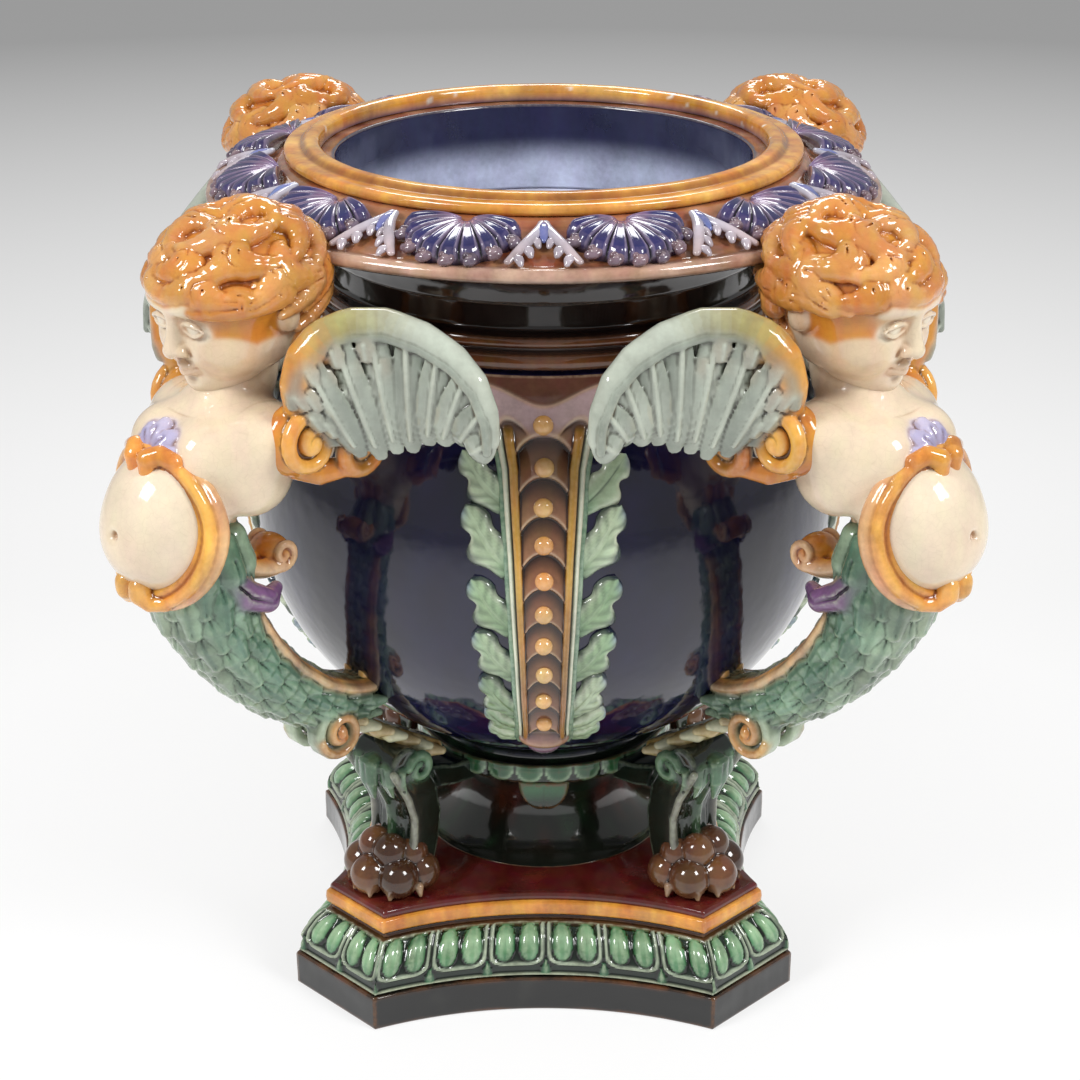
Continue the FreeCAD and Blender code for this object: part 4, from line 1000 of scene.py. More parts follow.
def head():
    """A calm child's head on schoolbook proportions: eyes at half height, full cheeks, short nose, small mouth."""
    rng = np.random.default_rng(7)
    clay = Clay((134, -46, 320), (226, 46, 404), 0.72)
    skin = mix(FLESH, CREAM, 0.25)
    blush = mix(FLESH, FLESH_WARM, 0.25)

    def lump(ahead, across, up, radii, blend, tint=skin):
        clay.add(oval(on_head(ahead, across, up), radii, tint, HEAD_AXES), blend)

    lump(-4, 0, 2, (30, 28, 28), 0)
    lump(9, 0, 6, (23, 24.5, 20), 8)
    lump(10, 0, -9, (22, 22, 22), 8)
    for side in (1, -1):
        lump(17, side * 11.5, -12.5, (12.5, 11.5, 12.0), 8, blush)
        lump(2, side * 17, -14, (14, 8, 13), 8)
        lump(-3, side * 29, -4, (5.5, 4.0, 8.0), 3, blush)
    lump(24, 0, -26.5, (7.5, 8.0, 6.2), 7)
    lump(12, 0, -28, (13, 13, 6), 8)
    lump(25, 0, 10, (6.5, 16, 8), 9)
    for side in (1, -1):
        # Eyes: a soft socket, the ball, and two lids that follow it.
        clay.carve(oval(on_head(36.3, side * 10.2, 0.5), (7.5, 6.8, 4.6), FLESH_WARM, HEAD_AXES), 6)
        clay.carve(oval(on_head(36, side * 4.6, 2.0), (5.5, 2.4, 3.4), FLESH_WARM, HEAD_AXES), 4)
        ball = on_head(25.4, side * 10.0, 0.2)
        clay.add(oval(ball, (5.9, 6.2, 5.6), CREAM), 0.6)
        for lift, reach, thick in ((1, 6.3, 1.0), (-1, 6.1, 0.75)):
            lid = []
            for t in np.linspace(-1, 1, 9):
                rise = lift * 2.7 * math.cos(t * math.pi / 2) ** 0.8
                sideways = t * 6.4
                depth = math.sqrt(max(reach ** 2 - rise ** 2 - (sideways * 0.72) ** 2, 1))
                lid.append(ball + AHEAD * depth + ACROSS * sideways + UP * (rise + 0.15 * lift))
            clay.add(rod(lid, [thick * (0.55 + 0.45 * math.cos(t * math.pi / 2)) for t in np.linspace(-1, 1, 9)], skin), 1.0)
        brow = [on_head(31.6 - 0.055 * (t - 9) ** 2 * 0.6 - abs(t) * 0.16, side * t, 8.6 + 1.5 * math.sin((t - 3) / 14 * math.pi))
                for t in (3.5, 7, 10.5, 14, 17)]
        clay.add(rod(brow, (2.0, 2.4, 2.5, 2.1, 1.4), skin), 4.0)
    # Nose, nostrils and the dip below them.
    clay.add(rod([on_head(30.2, 0, 4), on_head(33.2, 0, -3.5), on_head(35.6, 0, -8.6)], (2.4, 2.9, 3.9), skin), 3.6)
    for side in (1, -1):
        clay.add(oval(on_head(32.8, side * 4.1, -9.6), (3.4, 2.5, 2.6), blush, HEAD_AXES), 1.8)
        clay.carve(oval(on_head(35.0, side * 2.3, -12.2), (2.0, 1.2, 1.2), FLESH_WARM, HEAD_AXES), 0.8)
        clay.carve(rod([on_head(33.4, side * 6.6, -7.8), on_head(31.8, side * 6.4, -11.8)], (0.8, 0.5), FLESH_WARM), 1.5)
    clay.carve(rod([on_head(35.0, 0, -13.0), on_head(34.2, 0, -15.4)], (1.0, 1.2), FLESH_WARM), 1.6)
    # Lips: an upper bow, a fuller lower one, parted by a soft line.
    upper = [on_head(32.6 - 0.075 * t * t, t, -17.2 + 0.55 * math.cos(t * 0.9)) for t in np.linspace(-6.4, 6.4, 9)]
    lower = [on_head(32.2 - 0.09 * t * t, t, -20.6 + 0.045 * t * t) for t in np.linspace(-5.2, 5.2, 9)]
    clay.add(rod(upper, [0.9 + 0.9 * (1 - abs(t)) for t in np.linspace(-1, 1, 9)], (0.70, 0.50, 0.35)), 1.6)
    clay.add(rod(lower, [1.0 + 1.3 * (1 - abs(t)) for t in np.linspace(-1, 1, 9)], (0.71, 0.51, 0.36)), 1.8)
    part = [on_head(34.8 - 0.085 * t * t, t, -18.9 + 0.02 * t * t) for t in np.linspace(-6.6, 6.6, 9)]
    clay.carve(rod(part, [0.5 + 0.35 * (1 - abs(t)) for t in np.linspace(-1, 1, 9)], (0.3, 0.14, 0.07)), 0.9)
    clay.carve(oval(on_head(33.5, 0, -24.2), (3.0, 5.0, 1.6), FLESH_WARM, HEAD_AXES), 3)

    # Hair: a cap of overlapping comma locks that spring from the crown, each row's tips lifted over the next.
    cap = np.array((34.0, 30.5, 26.0))
    middle = on_head(-3.5, 0, 4.0)
    clay.add(oval(middle, cap + 0.8, AMBER, HEAD_AXES), 1.5)

    def on_cap(down, round_, lift):
        """A point on the hair cap: angle down from the crown, angle round from the front, lift above it."""
        direction = np.array((math.sin(down) * math.cos(round_), math.sin(down) * math.sin(round_), math.cos(down)))
        return middle + (direction * (cap + lift)) @ HEAD_AXES

    locks = []
    for row, (start, length, count) in enumerate(((2.05, 0.55, 12), (1.66, 0.60, 13), (1.28, 0.60, 14), (0.92, 0.62, 12),
                                                   (0.54, 0.62, 9), (0.14, 0.60, 6))):
        for i in range(count):
            around = 2 * math.pi * (i + 0.5 * (row % 2) + rng.uniform(-0.16, 0.16)) / count
            front = math.cos(around)
            limit = 1.30 + 0.48 * (1 - max(front, -0.3)) if front > -0.2 else 2.55
            stop = min(start + length * rng.uniform(0.9, 1.2), limit + rng.uniform(-0.04, 0.08))
            hand = (-1, 1)[(i + row) % 2] if rng.uniform() < 0.75 else 1
            if stop - start < 0.24:
                continue
            path, width = [], []
            for t in np.linspace(0, 1, 10):
                aside = hand * (0.22 * math.sin(t * math.pi * 0.95) - 0.46 * t ** 3)
                down = start + (stop - start) * t - 0.09 * t ** 4
                lift = 0.2 + 2.2 * math.sin(min(t * 1.5, 1) * math.pi / 2) + 1.5 * t ** 3
                path.append(on_cap(down, around + aside / max(math.sin(down), 0.35), lift))
                width.append(float(np.interp(t, (0, 0.3, 0.6, 0.85, 1), (5.0, 7.8, 7.4, 5.4, 3.0))))
            locks.append((np.array(path), np.array(width)))
    for path, width in locks:
        outs = path - middle
        outs /= np.linalg.norm(outs, axis=1)[:, None]
        along = np.gradient(path, axis=0)
        along /= np.linalg.norm(along, axis=1)[:, None]
        sides = np.cross(outs, along)
        tint = mix(mix(AMBER, AMBER_DARK, rng.uniform(0, 0.35)), AMBER_PALE, rng.uniform(0, 0.3))
        clay.add(rod(path, width, tint, flat=0.66, side=sides[4]), 0.7)
        for shift in (-0.35, 0.3):
            line = path + outs * (0.66 * width * math.sqrt(1 - shift ** 2) + 0.35)[:, None] \
                + sides * (width * shift)[:, None]
            clay.carve(rod(line[1:9], 0.55, AMBER_DARK), 0.4)
    clay.trim(lambda x, y, z: z - 402.8)
    clay.trim(lambda x, y, z: 118.0 - x)

    def paint(points, tints):
        local = (points - HEAD) @ HEAD_AXES.T
        warm = noise3(points, 30, 61)
        return tints * (1 + 0.05 * warm)[:, None]

    corner_pieces("putto_head", clay.skin(0.4, paint, skin), "flesh_glaze", GLAZES["flesh_glaze"])


head()


def spiral(centre, start_radius, end_radius, start_angle, turns, count, plane="xz", drop=0.0):
    """Points on a flat spiral round a centre; angles are anticlockwise seen with x to the right and z up."""
    points = []
    for t in np.linspace(0, 1, count):
        radius = start_radius + (end_radius - start_radius) * t
        angle = math.radians(start_angle) + turns * 2 * math.pi * t
        points.append((centre[0] + radius * math.cos(angle), centre[1] + drop * t, centre[2] + radius * math.sin(angle)))
    return np.array(points)


def torso():
    """Shoulders, breast and paunch in pale flesh, with the little palmette over the frame."""
    clay = Clay((136, -52, 236), (250, 52, 344), 0.78)
    skin = mix(FLESH, CREAM, 0.3)
    clay.add(rod([(172, 0, 340), (177, 0, 328), (186, 0, 316)], (14, 15, 18), skin), 0)
    clay.add(oval((190, 0, 301), (28, 35, 21), skin), 8)
    for side in (1, -1):
        clay.add(oval((206, side * 12.5, 304), (15, 15, 14), skin), 9)
        clay.add(oval((184, side * 25, 310), (17, 15, 13), skin), 9)
        clay.add(oval((190, side * 22, 290), (17, 11, 14), skin), 8)
    clay.add(rod([(178, 0, 300), (160, 0, 296), (146, 0, 290)], (17, 15, 14), skin), 8)
    tilt = math.radians(12)
    axes = np.array(((math.cos(tilt), 0, math.sin(tilt)), (0, 1, 0), (-math.sin(tilt), 0, math.cos(tilt))))
    clay.add(oval((219, 0, 277), (24.5, 27.5, 29.5), mix(skin, CREAM, 0.3), axes), 7)
    clay.add(oval((226, 0, 270), (19, 22, 20), skin, axes), 7)
    clay.carve(oval((245.0, 0, 276), (2.6, 1.8, 1.5), (0.45, 0.27, 0.13)), 3.0)
    # A five-lobed palmette stands over the frame's top knob and leans back on the breast.
    root = np.array((223.0, 0, 304.0))
    lean = np.array((-0.5, 0, 0.86))
    for lobe, (angle, length) in enumerate(((66, 11.5), (-66, 11.5), (34, 13.5), (-34, 13.5), (0, 15))):
        a = math.radians(angle)
        ahead = lean * math.cos(a) + ACROSS * math.sin(a)
        face = np.array((0.86, 0, 0.5))
        path = [root + ahead * length * t + face * 2.2 * math.sin(t * math.pi) for t in np.linspace(0, 1, 6)]
        tint = mix(LILAC_PALE, (0.24, 0.24, 0.50), 0.3 if lobe < 4 else 0.05)
        clay.add(rod(path, (1.8, 2.8, 3.8, 4.3, 4.2, 3.2), tint, flat=0.75, side=np.cross(face, ahead)), 0.5)
        clay.carve(rod([p + face * 3.2 for p in path[1:5]], (0.5, 0.8, 0.9, 0.7), (0.07, 0.06, 0.22)), 0.7, colour=True)
    corner_pieces("putto_torso", clay.skin(0.7, None, skin), "flesh_glaze", GLAZES["flesh_glaze"])


torso()


def paunch_frame():
    """The orange strapwork oval round the paunch, its ends rolled into knobs at the top and foot."""
    clay = Clay((196, -42, 230), (262, 42, 320), 0.75)
    tilt = math.radians(12)
    out = np.array((math.cos(tilt), 0, math.sin(tilt)))
    up = np.array((-math.sin(tilt), 0, math.cos(tilt)))
    centre = np.array((224.0, 0, 275.5))

    def ring(grow, lift):
        points = []
        for a in np.linspace(0, 2 * math.pi, 49):
            height = (28.5 if math.cos(a) > 0 else 31.0) + grow
            ahead = lift - 5.5 * math.sin(a) ** 2 + (5.0 * math.cos(a) ** 2 if math.cos(a) > 0 else 0)
            points.append(centre + ACROSS * (29.0 + grow) * math.sin(a) + up * height * math.cos(a) + out * ahead)
        return points

    for grow, lift, radius, tint in ((-0.2, 0, 4.8, AMBER), (1.8, -3.2, 4.2, mix(AMBER, CREAM, 0.3)),
                                     (-2.2, 2.6, 2.4, (0.80, 0.40, 0.08)), (2.6, 2.2, 2.4, (0.78, 0.38, 0.08))):
        clay.add(rod(ring(grow, lift), radius, tint), 1.2)
    clay.carve(rod(ring(0.2, 5.2), 1.0, AMBER_DARK), 1.2, colour=True)
    for side in (1, -1):
        # Rolled ends: two curls side by side at the top, two drops at the foot.
        top = [centre + up * 29.5 + ACROSS * side * 14 + out * 5, centre + up * 31 + ACROSS * side * 8 + out * 8,
               centre + up * 28.5 + ACROSS * side * 4.2 + out * 11, centre + up * 23.5 + ACROSS * side * 3.8 + out * 10.5]
        clay.add(rod(top, (3.6, 4.2, 4.6, 3.4), AMBER), 0.8)
        foot = [centre - up * 31 + ACROSS * side * 13 + out * 1, centre - up * 32 + ACROSS * side * 7 + out * 4,
                centre - up * 28.5 + ACROSS * side * 4.4 + out * 7.5, centre - up * 25 + ACROSS * side * 4.4 + out * 7.6]
        clay.add(rod(foot, (3.2, 3.8, 4.8, 4.2), (0.70, 0.33, 0.07)), 0.8)
        clay.add(oval(centre - up * 26 + ACROSS * side * 4.6 + out * 8.8, (4.2, 4.6, 5.2), (0.74, 0.38, 0.09)), 0.8)
    corner_pieces("paunch_frame", clay.skin(0.7, None, AMBER), "orange_glaze", GLAZES["orange_glaze"])


paunch_frame()


def loop_scroll():
    """The C-scroll that closes the handle's loop behind the frame: an orange hollow between pale lips."""
    clay = Clay((132, -16, 226), (206, 16, 306), 0.75)
    middle = np.array((172.0, 0, 264.0))
    turn = np.radians(np.linspace(100, -100, 26))
    arc = middle + 22.5 * np.stack([np.cos(turn), 0 * turn, np.sin(turn)], 1)
    path = np.vstack([[(148, 0, 287.5), (158, 0, 287)], arc])
    clay.add(ribbon(path, 20, 6.5, (0, 1, 0), AMBER, edge=3.5, lip=1.2), 0)
    inner = path[2:] + (middle - path[2:]) / 22.5 * 3.0
    clay.add(rod(inner, 2.6, (0.66, 0.27, 0.04)), 1.5)
    for side in (1, -1):
        clay.add(rod(path + (0, side * 9.0, 0), 2.7, mix(AMBER, CREAM, 0.55)), 1.2)
    # Its end rolls up into a ball that the hollow runs round.
    clay.add(oval((166.5, 0, 246.5), (7.6, 10.5, 7.2), AMBER), 1.5)
    for side in (1, -1):
        coil = spiral((166.5, side * 9.6, 247), 6.6, 1.6, -60, -1.2, 20)
        clay.add(rod(coil, np.linspace(2.0, 1.5, 20), mix(AMBER, CREAM, 0.4)), 0.6)
    corner_pieces("loop_scroll", clay.skin(0.9, None, AMBER), "orange_glaze", GLAZES["orange_glaze"])


loop_scroll()


def tail_line(count):
    """The tail's middle line and radius, from under the frame down to the bowl's foot."""
    stations = np.array([(206, 0, 258, 19.0), (205, 0, 240, 17.5), (197, 0, 220, 15.2), (184, 0, 200, 13.8),
                         (168, 0, 183, 12.4), (150, 0, 169, 11.0), (130, 0, 160, 10.0), (108, 0, 158, 9.6)])
    lengths = np.concatenate([[0], np.cumsum(np.linalg.norm(np.diff(stations[:, :3], axis=0), axis=1))])
    along = np.linspace(0, lengths[-1], count)
    fine = np.stack([np.interp(along, lengths, stations[:, k]) for k in range(4)], 1)
    for _ in range(3):
        fine[1:-1] = (fine[:-2] + 2 * fine[1:-1] + fine[2:]) / 4
    return fine


def tail():
    """The fish tail of leafy scales that sweeps from the frame down and in under the bowl."""
    clay = Clay((96, -30, 132), (234, 30, 272), 0.8)
    line = tail_line(40)
    clay.add(rod(line[:, :3], line[:, 3] - 2.2, (0.05, 0.13, 0.10)), 0)
    rows = 15
    for row in range(rows):
        t = 1.5 + row * 36.5 / rows
        i = int(t)
        p, q = line[i], line[min(i + 1, 39)]
        here = p[:3] + (q[:3] - p[:3]) * (t - i)
        radius = p[3]
        ahead = (q[:3] - p[:3]) / np.linalg.norm(q[:3] - p[:3])
        out = np.cross(ACROSS, ahead)
        out /= np.linalg.norm(out)
        count = 9 if row < 5 else 8
        size = 0.62 * radius
        for k in range(count):
            a = 2 * math.pi * (k + 0.5 * (row % 2)) / count
            normal = out * math.cos(a) + ACROSS * math.sin(a)
            side = np.cross(normal, ahead)
            root = here + normal * (radius - 3.4) - ahead * size * 0.9
            middle = here + normal * (radius - 1.6) + ahead * size * 0.1
            tip = here + normal * (radius + 0.5) + ahead * size * 1.25
            shade = 0.5 + 0.5 * math.sin(row * 2.1 + k * 1.7)
            tint = mix(mix(SEA, SEA_PALE, shade), mix(CREAM, LEAF, 0.35), 0.08 + 0.28 * math.cos(a) ** 2)
            clay.add(rod([root, middle, tip], (size * 0.62, size * 0.72, size * 0.34), tint), 0.4)
            clay.carve(rod([root + normal * size * 0.5, middle + normal * size * 0.78, tip + normal * size * 0.30],
                           (0.4, 0.7, 0.4), (0.03, 0.10, 0.07)), 0.8, colour=True)
    # An orange lining rolls up the tail's inner side and ends in a curl by the bowl.
    inner, halves = [], []
    for t in np.linspace(10, 36, 24):
        p, q = line[int(t)], line[int(t) + 1]
        ahead = (q[:3] - p[:3]) / np.linalg.norm(q[:3] - p[:3])
        inner.append(p[:3] + (q[:3] - p[:3]) * (t % 1) + np.cross(ACROSS, ahead) * (p[3] - 2.2))
        halves.append(0.92 * p[3])
    inner, halves = np.array(inner), np.array(halves)
    clay.add(ribbon(inner, 2 * halves, 7.0, (0, 1, 0), AMBER), 0.8)
    for side in (1, -1):
        clay.add(rod(inner + ACROSS * side * halves[:, None], 2.3, mix(AMBER, CREAM, 0.3)), 0.6)
        roll = spiral(inner[-1] + (-1.0, side * 5.0, 5.0), 6.0, 1.4, -70, -1.1, 18)
        clay.add(rod(roll, np.linspace(3.2, 2.2, 18), (0.72, 0.33, 0.06)), 0.6)
    # Rolled volutes at its foot, orange where they turn in.
    for side in (1, -1):
        roll = spiral((141, side * 8.5, 152), 12.5, 3.0, 55, -1.5, 26)
        clay.add(ribbon(roll, 9.0, 5.0, (0, 1, 0), mix(SEA_PALE, CREAM, 0.3)), 1.0)
        clay.add(rod(roll[3:] + (0, side * 4.0, 0), 1.9, AMBER), 0.6)
        clay.add(oval((141, side * 9, 152), (4.0, 6.2, 4.0), AMBER), 0.6)
    # Two leaves spring from the tail where it leaves the frame.
    for side in (1, -1):
        leaf = [(206, side * 15, 252), (196, side * 19, 240), (184, side * 19, 234), (176, side * 15, 236)]
        clay.add(rod(leaf, (7, 7, 5.5, 3.0), MAUVE), 1.0)
        clay.carve(rod([np.array(p) + (0, side * 6.0, 0.5) for p in leaf], 0.8, (0.06, 0.03, 0.08)), 0.8, colour=True)
    corner_pieces("putto_tail", clay.skin(0.8, None, SEA), "scale_green_glaze", GLAZES["scale_green_glaze"])


tail()


def brace():
    """The leafy bracket from the tail's foot in under the bowl."""
    clay = Clay((70, -16, 104), (142, 16, 174), 0.8)
    line = [(134, 0, 158), (122, 0, 148), (108, 0, 138), (94, 0, 129), (78, 0, 119)]
    clay.add(ribbon(line, 14, 6.5, (0, 1, 0), OCHRE), 0)
    for i, t in enumerate(np.linspace(0.06, 0.9, 7)):
        p = np.array((134 - 56 * t, 0, 158 - 39 * t))
        for side in (1, -1):
            root, tip = p + (4, side * 2, 1), p + (-5.5, side * 10.0, -4.5)
            tint = mix(OCHRE, LEAF_PALE, 0.2 + 0.5 * (i % 2))
            clay.add(rod([root, (root + tip) / 2 + (0, 0, -1.6), tip], (3.0, 3.8, 2.0), tint), 0.6)
    clay.add(rod(np.array(line) + (1, 0, -3.0), 2.2, mix(OCHRE, GREEN_MID, 0.5)), 0.8)
    corner_pieces("tail_brace", clay.skin(0.8, None, OCHRE), "ochre_glaze", GLAZES["ochre_glaze"])


brace()


def wing():
    """A rolled ridge sweeps up from the shoulder's volute and over; long feathers hang from it, small ones at its root."""
    clay = Clay((120, 22, 284), (200, 122, 372), 0.75)
    ridge = np.array([(177, 39, 320), (182, 42, 334), (180.5, 45, 346), (174, 49, 354.5), (164, 55, 359),
                      (154, 66, 359.5), (147, 80, 355.5), (143, 93, 349.5), (141, 103, 341), (140, 109, 329), (140, 110, 318)])
    lengths = np.concatenate([[0], np.cumsum(np.linalg.norm(np.diff(ridge, axis=0), axis=1))])

    def on_ridge(t):
        return np.array([np.interp(t * lengths[-1], lengths, ridge[:, k]) for k in range(3)])

    low = np.array([(170, 46, 306), (160, 54, 305), (152, 64, 306), (148, 75, 311), (144, 87, 315.5), (142, 97, 316),
                    (141, 105, 313)])
    low_lengths = np.concatenate([[0], np.cumsum(np.linalg.norm(np.diff(low, axis=0), axis=1))])

    def on_low(t):
        return np.array([np.interp(t * low_lengths[-1], low_lengths, low[:, k]) for k in range(3)])

    # A thin sheet behind the feathers keeps them one piece.
    for t in np.linspace(0.05, 0.96, 22):
        a, b = on_ridge(t), on_low(t)
        clay.add(rod([a, (a + b) / 2, b + (a - b) * 0.12], (3.0, 2.6, 2.0), WING), 1.5)
    out = np.array((0.86, 0.5, 0.0))
    out /= np.linalg.norm(out)
    count = 8
    for i in range(count):
        t = 0.20 + 0.78 * i / (count - 1)
        a, b = on_ridge(min(t + 0.03, 1)), on_low(t)
        sag = b - a
        down = sag / np.linalg.norm(sag)
        tip = b + down * (2.0 + 1.5 * (i % 2))
        across = np.cross(out, down)
        across /= np.linalg.norm(across)
        shift = out * (3.2 - 0.32 * i)
        path = [a + (tip - a) * s + out * (1.4 * math.sin(s * math.pi)) + shift for s in np.linspace(0.04, 1, 10)]
        tint = mix(WING, WING_PALE, 0.15 + 0.5 * ((i * 0.37) % 1))
        width = np.array([5.0, 5.8, 6.4, 6.8, 7.0, 7.1, 7.0, 6.4, 5.0, 2.8])
        clay.add(rod(path, width, tint, flat=0.36, side=across), 0.4)
        clay.add(rod([p + out * 2.2 for p in path[:9]], np.linspace(1.3, 0.7, 9), WING_PALE), 0.8)
    # Small overlapping feathers on the shoulder of the wing.
    for row in range(4):
        for i in range(4):
            t = 0.12 + 0.105 * i + 0.05 * (row % 2)
            a, b = on_ridge(t), on_low(t * 0.72)
            s = 0.16 + 0.17 * row
            p = a + (b - a) * s + out * (5.6 - 0.5 * row)
            down = (b - a) / np.linalg.norm(b - a)
            tint = mix(WING, (0.50, 0.30, 0.20), 0.35 if row < 2 else 0.1)
            clay.add(rod([p - down * 4, p, p + down * 4.8], (3.4, 4.2, 2.8), mix(tint, WING_PALE, 0.25), flat=0.5,
                         side=np.cross(out, down)), 0.4)
            clay.add(rod([p - down * 2 + out * 1.8, p + down * 4 + out * 1.5], (0.9, 0.6), WING_PALE), 0.5)
    # The rolled ridge itself: orange at its root, olive, then pale.
    fine = np.array([on_ridge(t) for t in np.linspace(0, 1, 34)])
    ridge_form = rod(fine, np.interp(np.linspace(0, 1, 34), (0, 0.25, 0.6, 1), (6.2, 7.2, 6.2, 4.0)), OCHRE)

    def ridge_paint(points):
        near = np.argmin(((points[:, None] - fine[None]) ** 2).sum(-1), axis=1) / 33
        colour = mix(np.broadcast_to(np.array((0.60, 0.26, 0.05)), points.shape), np.array((0.34, 0.30, 0.12)),
                     step(0.18, 0.36, near))
        return mix(colour, np.array(WING_PALE), step(0.34, 0.62, near))

    ridge_form.paint = ridge_paint
    clay.add(ridge_form, 0.8)
    clay.add(rod(fine[3:] + out * 4.4 + np.array((0, 0, -3.6)), np.linspace(2.8, 1.8, 31), WING), 0.6)
    # Its tip rolls in; a hooked curl closes its front.
    hook = spiral((170, 48, 340), 8.0, 2.6, 70, 0.9, 14)
    clay.add(rod(hook + (0, 2.5, 0), np.linspace(4.0, 2.6, 14), (0.58, 0.25, 0.05)), 0.8)
    # The shoulder's volute: a roundel with a spiral wound into its face.
    centre = np.array((177.0, 37.0, 309.0))
    clay.add(oval(centre + (0, -2, 0), (16.0, 9.5, 16.0), AMBER), 2.0)
    coil = spiral(centre + (0, 6.5, 0), 13.2, 1.5, 100, -1.6, 34, drop=2.2)
    clay.add(rod(coil, np.linspace(3.4, 2.2, 34), (0.72, 0.33, 0.06)), 0.6)
    clay.add(oval(centre + (0, 8.6, 0), (4.2, 2.8, 4.2), (0.80, 0.42, 0.10)), 0.6)
    # A smaller curl behind it and the ball that ends it.
    curl = spiral((157, 50, 303), 11.0, 2.0, 150, 1.35, 28)
    clay.add(rod(curl, np.linspace(3.8, 2.4, 28), (0.55, 0.20, 0.03)), 0.6)
    clay.add(oval((157, 47, 303), (9.5, 4.0, 9.5), WING_PALE), 1.0)
    clay.add(rod([(177, 34, 296), (170, 40, 294), (160, 48, 296)], (5, 5.5, 4), AMBER), 2)
    points, quads, tints = clay.skin(0.7, None, WING)
    flipped = points * np.array((1, -1, 1))
    material = GLAZES["wing_glaze"]
    corner_pieces("wing_left", (points, quads, tints), "wing_glaze", material)
    corner_pieces("wing_right", (flipped, quads[:, ::-1], tints), "wing_glaze", material)


wing()

# ---------------------------------------------------------------- small closed forms

def tube(heap, points, radii, tint, sides=12, flat=1.0, up=None):
    """A closed round or flattened rod through points, with rounded ends."""
    points = np.array(points, float)
    count = len(points)
    radii = np.broadcast_to(np.asarray(radii, float), (count,)).copy()
    tangent = np.gradient(points, axis=0)
    tangent /= np.maximum(np.linalg.norm(tangent, axis=1), 1e-9)[:, None]
    up = np.array((0, 0, 1.0)) if up is None else np.array(up, float)
    up = np.broadcast_to(up, points.shape)
    across = np.cross(tangent, up)
    across /= np.maximum(np.linalg.norm(across, axis=1), 1e-9)[:, None]
    over = np.cross(across, tangent)
    caps = np.sin(np.linspace(0.02, math.pi / 2, 4))
    lead = np.sqrt(1 - caps ** 2)
    rows, sizes, frames = [], [], []
    for c, l in zip(caps, lead):
        rows.append(points[0] - tangent[0] * radii[0] * l * 0.9)
        sizes.append(radii[0] * c)
        frames.append((across[0], over[0]))
    for i in range(1, count - 1):
        rows.append(points[i])
        sizes.append(radii[i])
        frames.append((across[i], over[i]))
    for c, l in zip(caps[::-1], lead[::-1]):
        rows.append(points[-1] + tangent[-1] * radii[-1] * l * 0.9)
        sizes.append(radii[-1] * c)
        frames.append((across[-1], over[-1]))
    angle = np.linspace(0, 2 * math.pi, sides, endpoint=False)
    sheet = np.array([row + size * (np.cos(angle)[:, None] * a + flat * np.sin(angle)[:, None] * o)
                      for row, size, (a, o) in zip(rows, sizes, frames)])
    tint = np.asarray(tint, float)
    if tint.ndim == 2:
        tint = np.concatenate([[tint[0]] * 4, tint[1:-1], [tint[-1]] * 4])[:, None]
    heap.grid(sheet, np.broadcast_to(tint, sheet.shape), wrap_v=True)


def blob(heap, centre, radii, tint, sides=14, axes=None):
    """A closed rounded lump."""
    radii = np.broadcast_to(np.asarray(radii, float), (3,))
    down = np.linspace(0.02, math.pi - 0.02, sides // 2 + 2)[:, None]
    around = np.linspace(0, 2 * math.pi, sides, endpoint=False)[None]
    unit = np.stack([np.sin(down) * np.cos(around), np.sin(down) * np.sin(around), np.cos(down) + 0 * around], -1)
    points = unit * radii
    if axes is not None:
        points = points @ np.array(axes, float)
    heap.grid(points + np.array(centre, float), np.broadcast_to(np.array(tint, float), points.shape), wrap_v=True)


# ---------------------------------------------------------------- shell collar

COLLAR_FALL = 12.0 / 32.5


def collar_level(radius):
    """The level of the collar's sloping top at a radius."""
    return COLLAR_TOP - (np.asarray(radius, float) - RIM_RADIUS) * COLLAR_FALL


def collar():
    def paint(a, r, z, height):
        points = np.stack([r * np.cos(a), r * np.sin(a), z], -1).reshape(-1, 3)
        cloud = noise3(points, 22, 51).reshape(z.shape)
        ground = mix(np.broadcast_to(np.array((0.25, 0.075, 0.03)), (*z.shape, 3)), np.array((0.44, 0.22, 0.12)),
                     step(-0.5, 0.7, cloud))
        lip = mix(np.broadcast_to(np.array((0.36, 0.19, 0.13)), ground.shape), np.array((0.55, 0.36, 0.27)),
                  step(-0.4, 0.8, cloud))
        colour = mix(ground, lip, step(145.5, 148.5, r))
        under = np.array((0.016, 0.009, 0.008))
        colour = mix(colour, under, step(LIP_LEVEL - 1.0, LIP_LEVEL - 3.2, z) * (r > 96))
        inner = (r < 96)[..., None]
        return np.where(inner, inside_paint(z, ground.shape), colour)

    def relief(a, r, z):
        top = step(119, 122, r) * step(150, 146, r) * (z > LIP_LEVEL + 2)
        points = np.stack([r * np.cos(a), r * np.sin(a), z], -1).reshape(-1, 3)
        return -1.2 * top + 0.12 * noise3(points, 12, 52).reshape(z.shape) - 0.12

    profile = [(94, NECK_HIGH)] + arc_between((101, NECK_HIGH), (114, NECK_HIGH + 19), (147.8, NECK_HIGH + 24), 24) \
        + arc_between((150.8, NECK_HIGH + 24), (152.6, LIP_LEVEL), (149.8, LIP_LEVEL + 3), 8) \
        + [(146.5, LIP_LEVEL + 3.9), (118.5, collar_level(118.5)), (RIM_RADIUS, COLLAR_TOP), (94, COLLAR_TOP)]
    lathe(profile, 300, 1.3, tint=paint, relief=relief, closed=True).build(
        "seen_shell_collar", "jardiniere", ["shell_collar"], "strap_glaze", GLAZES["strap_glaze"])


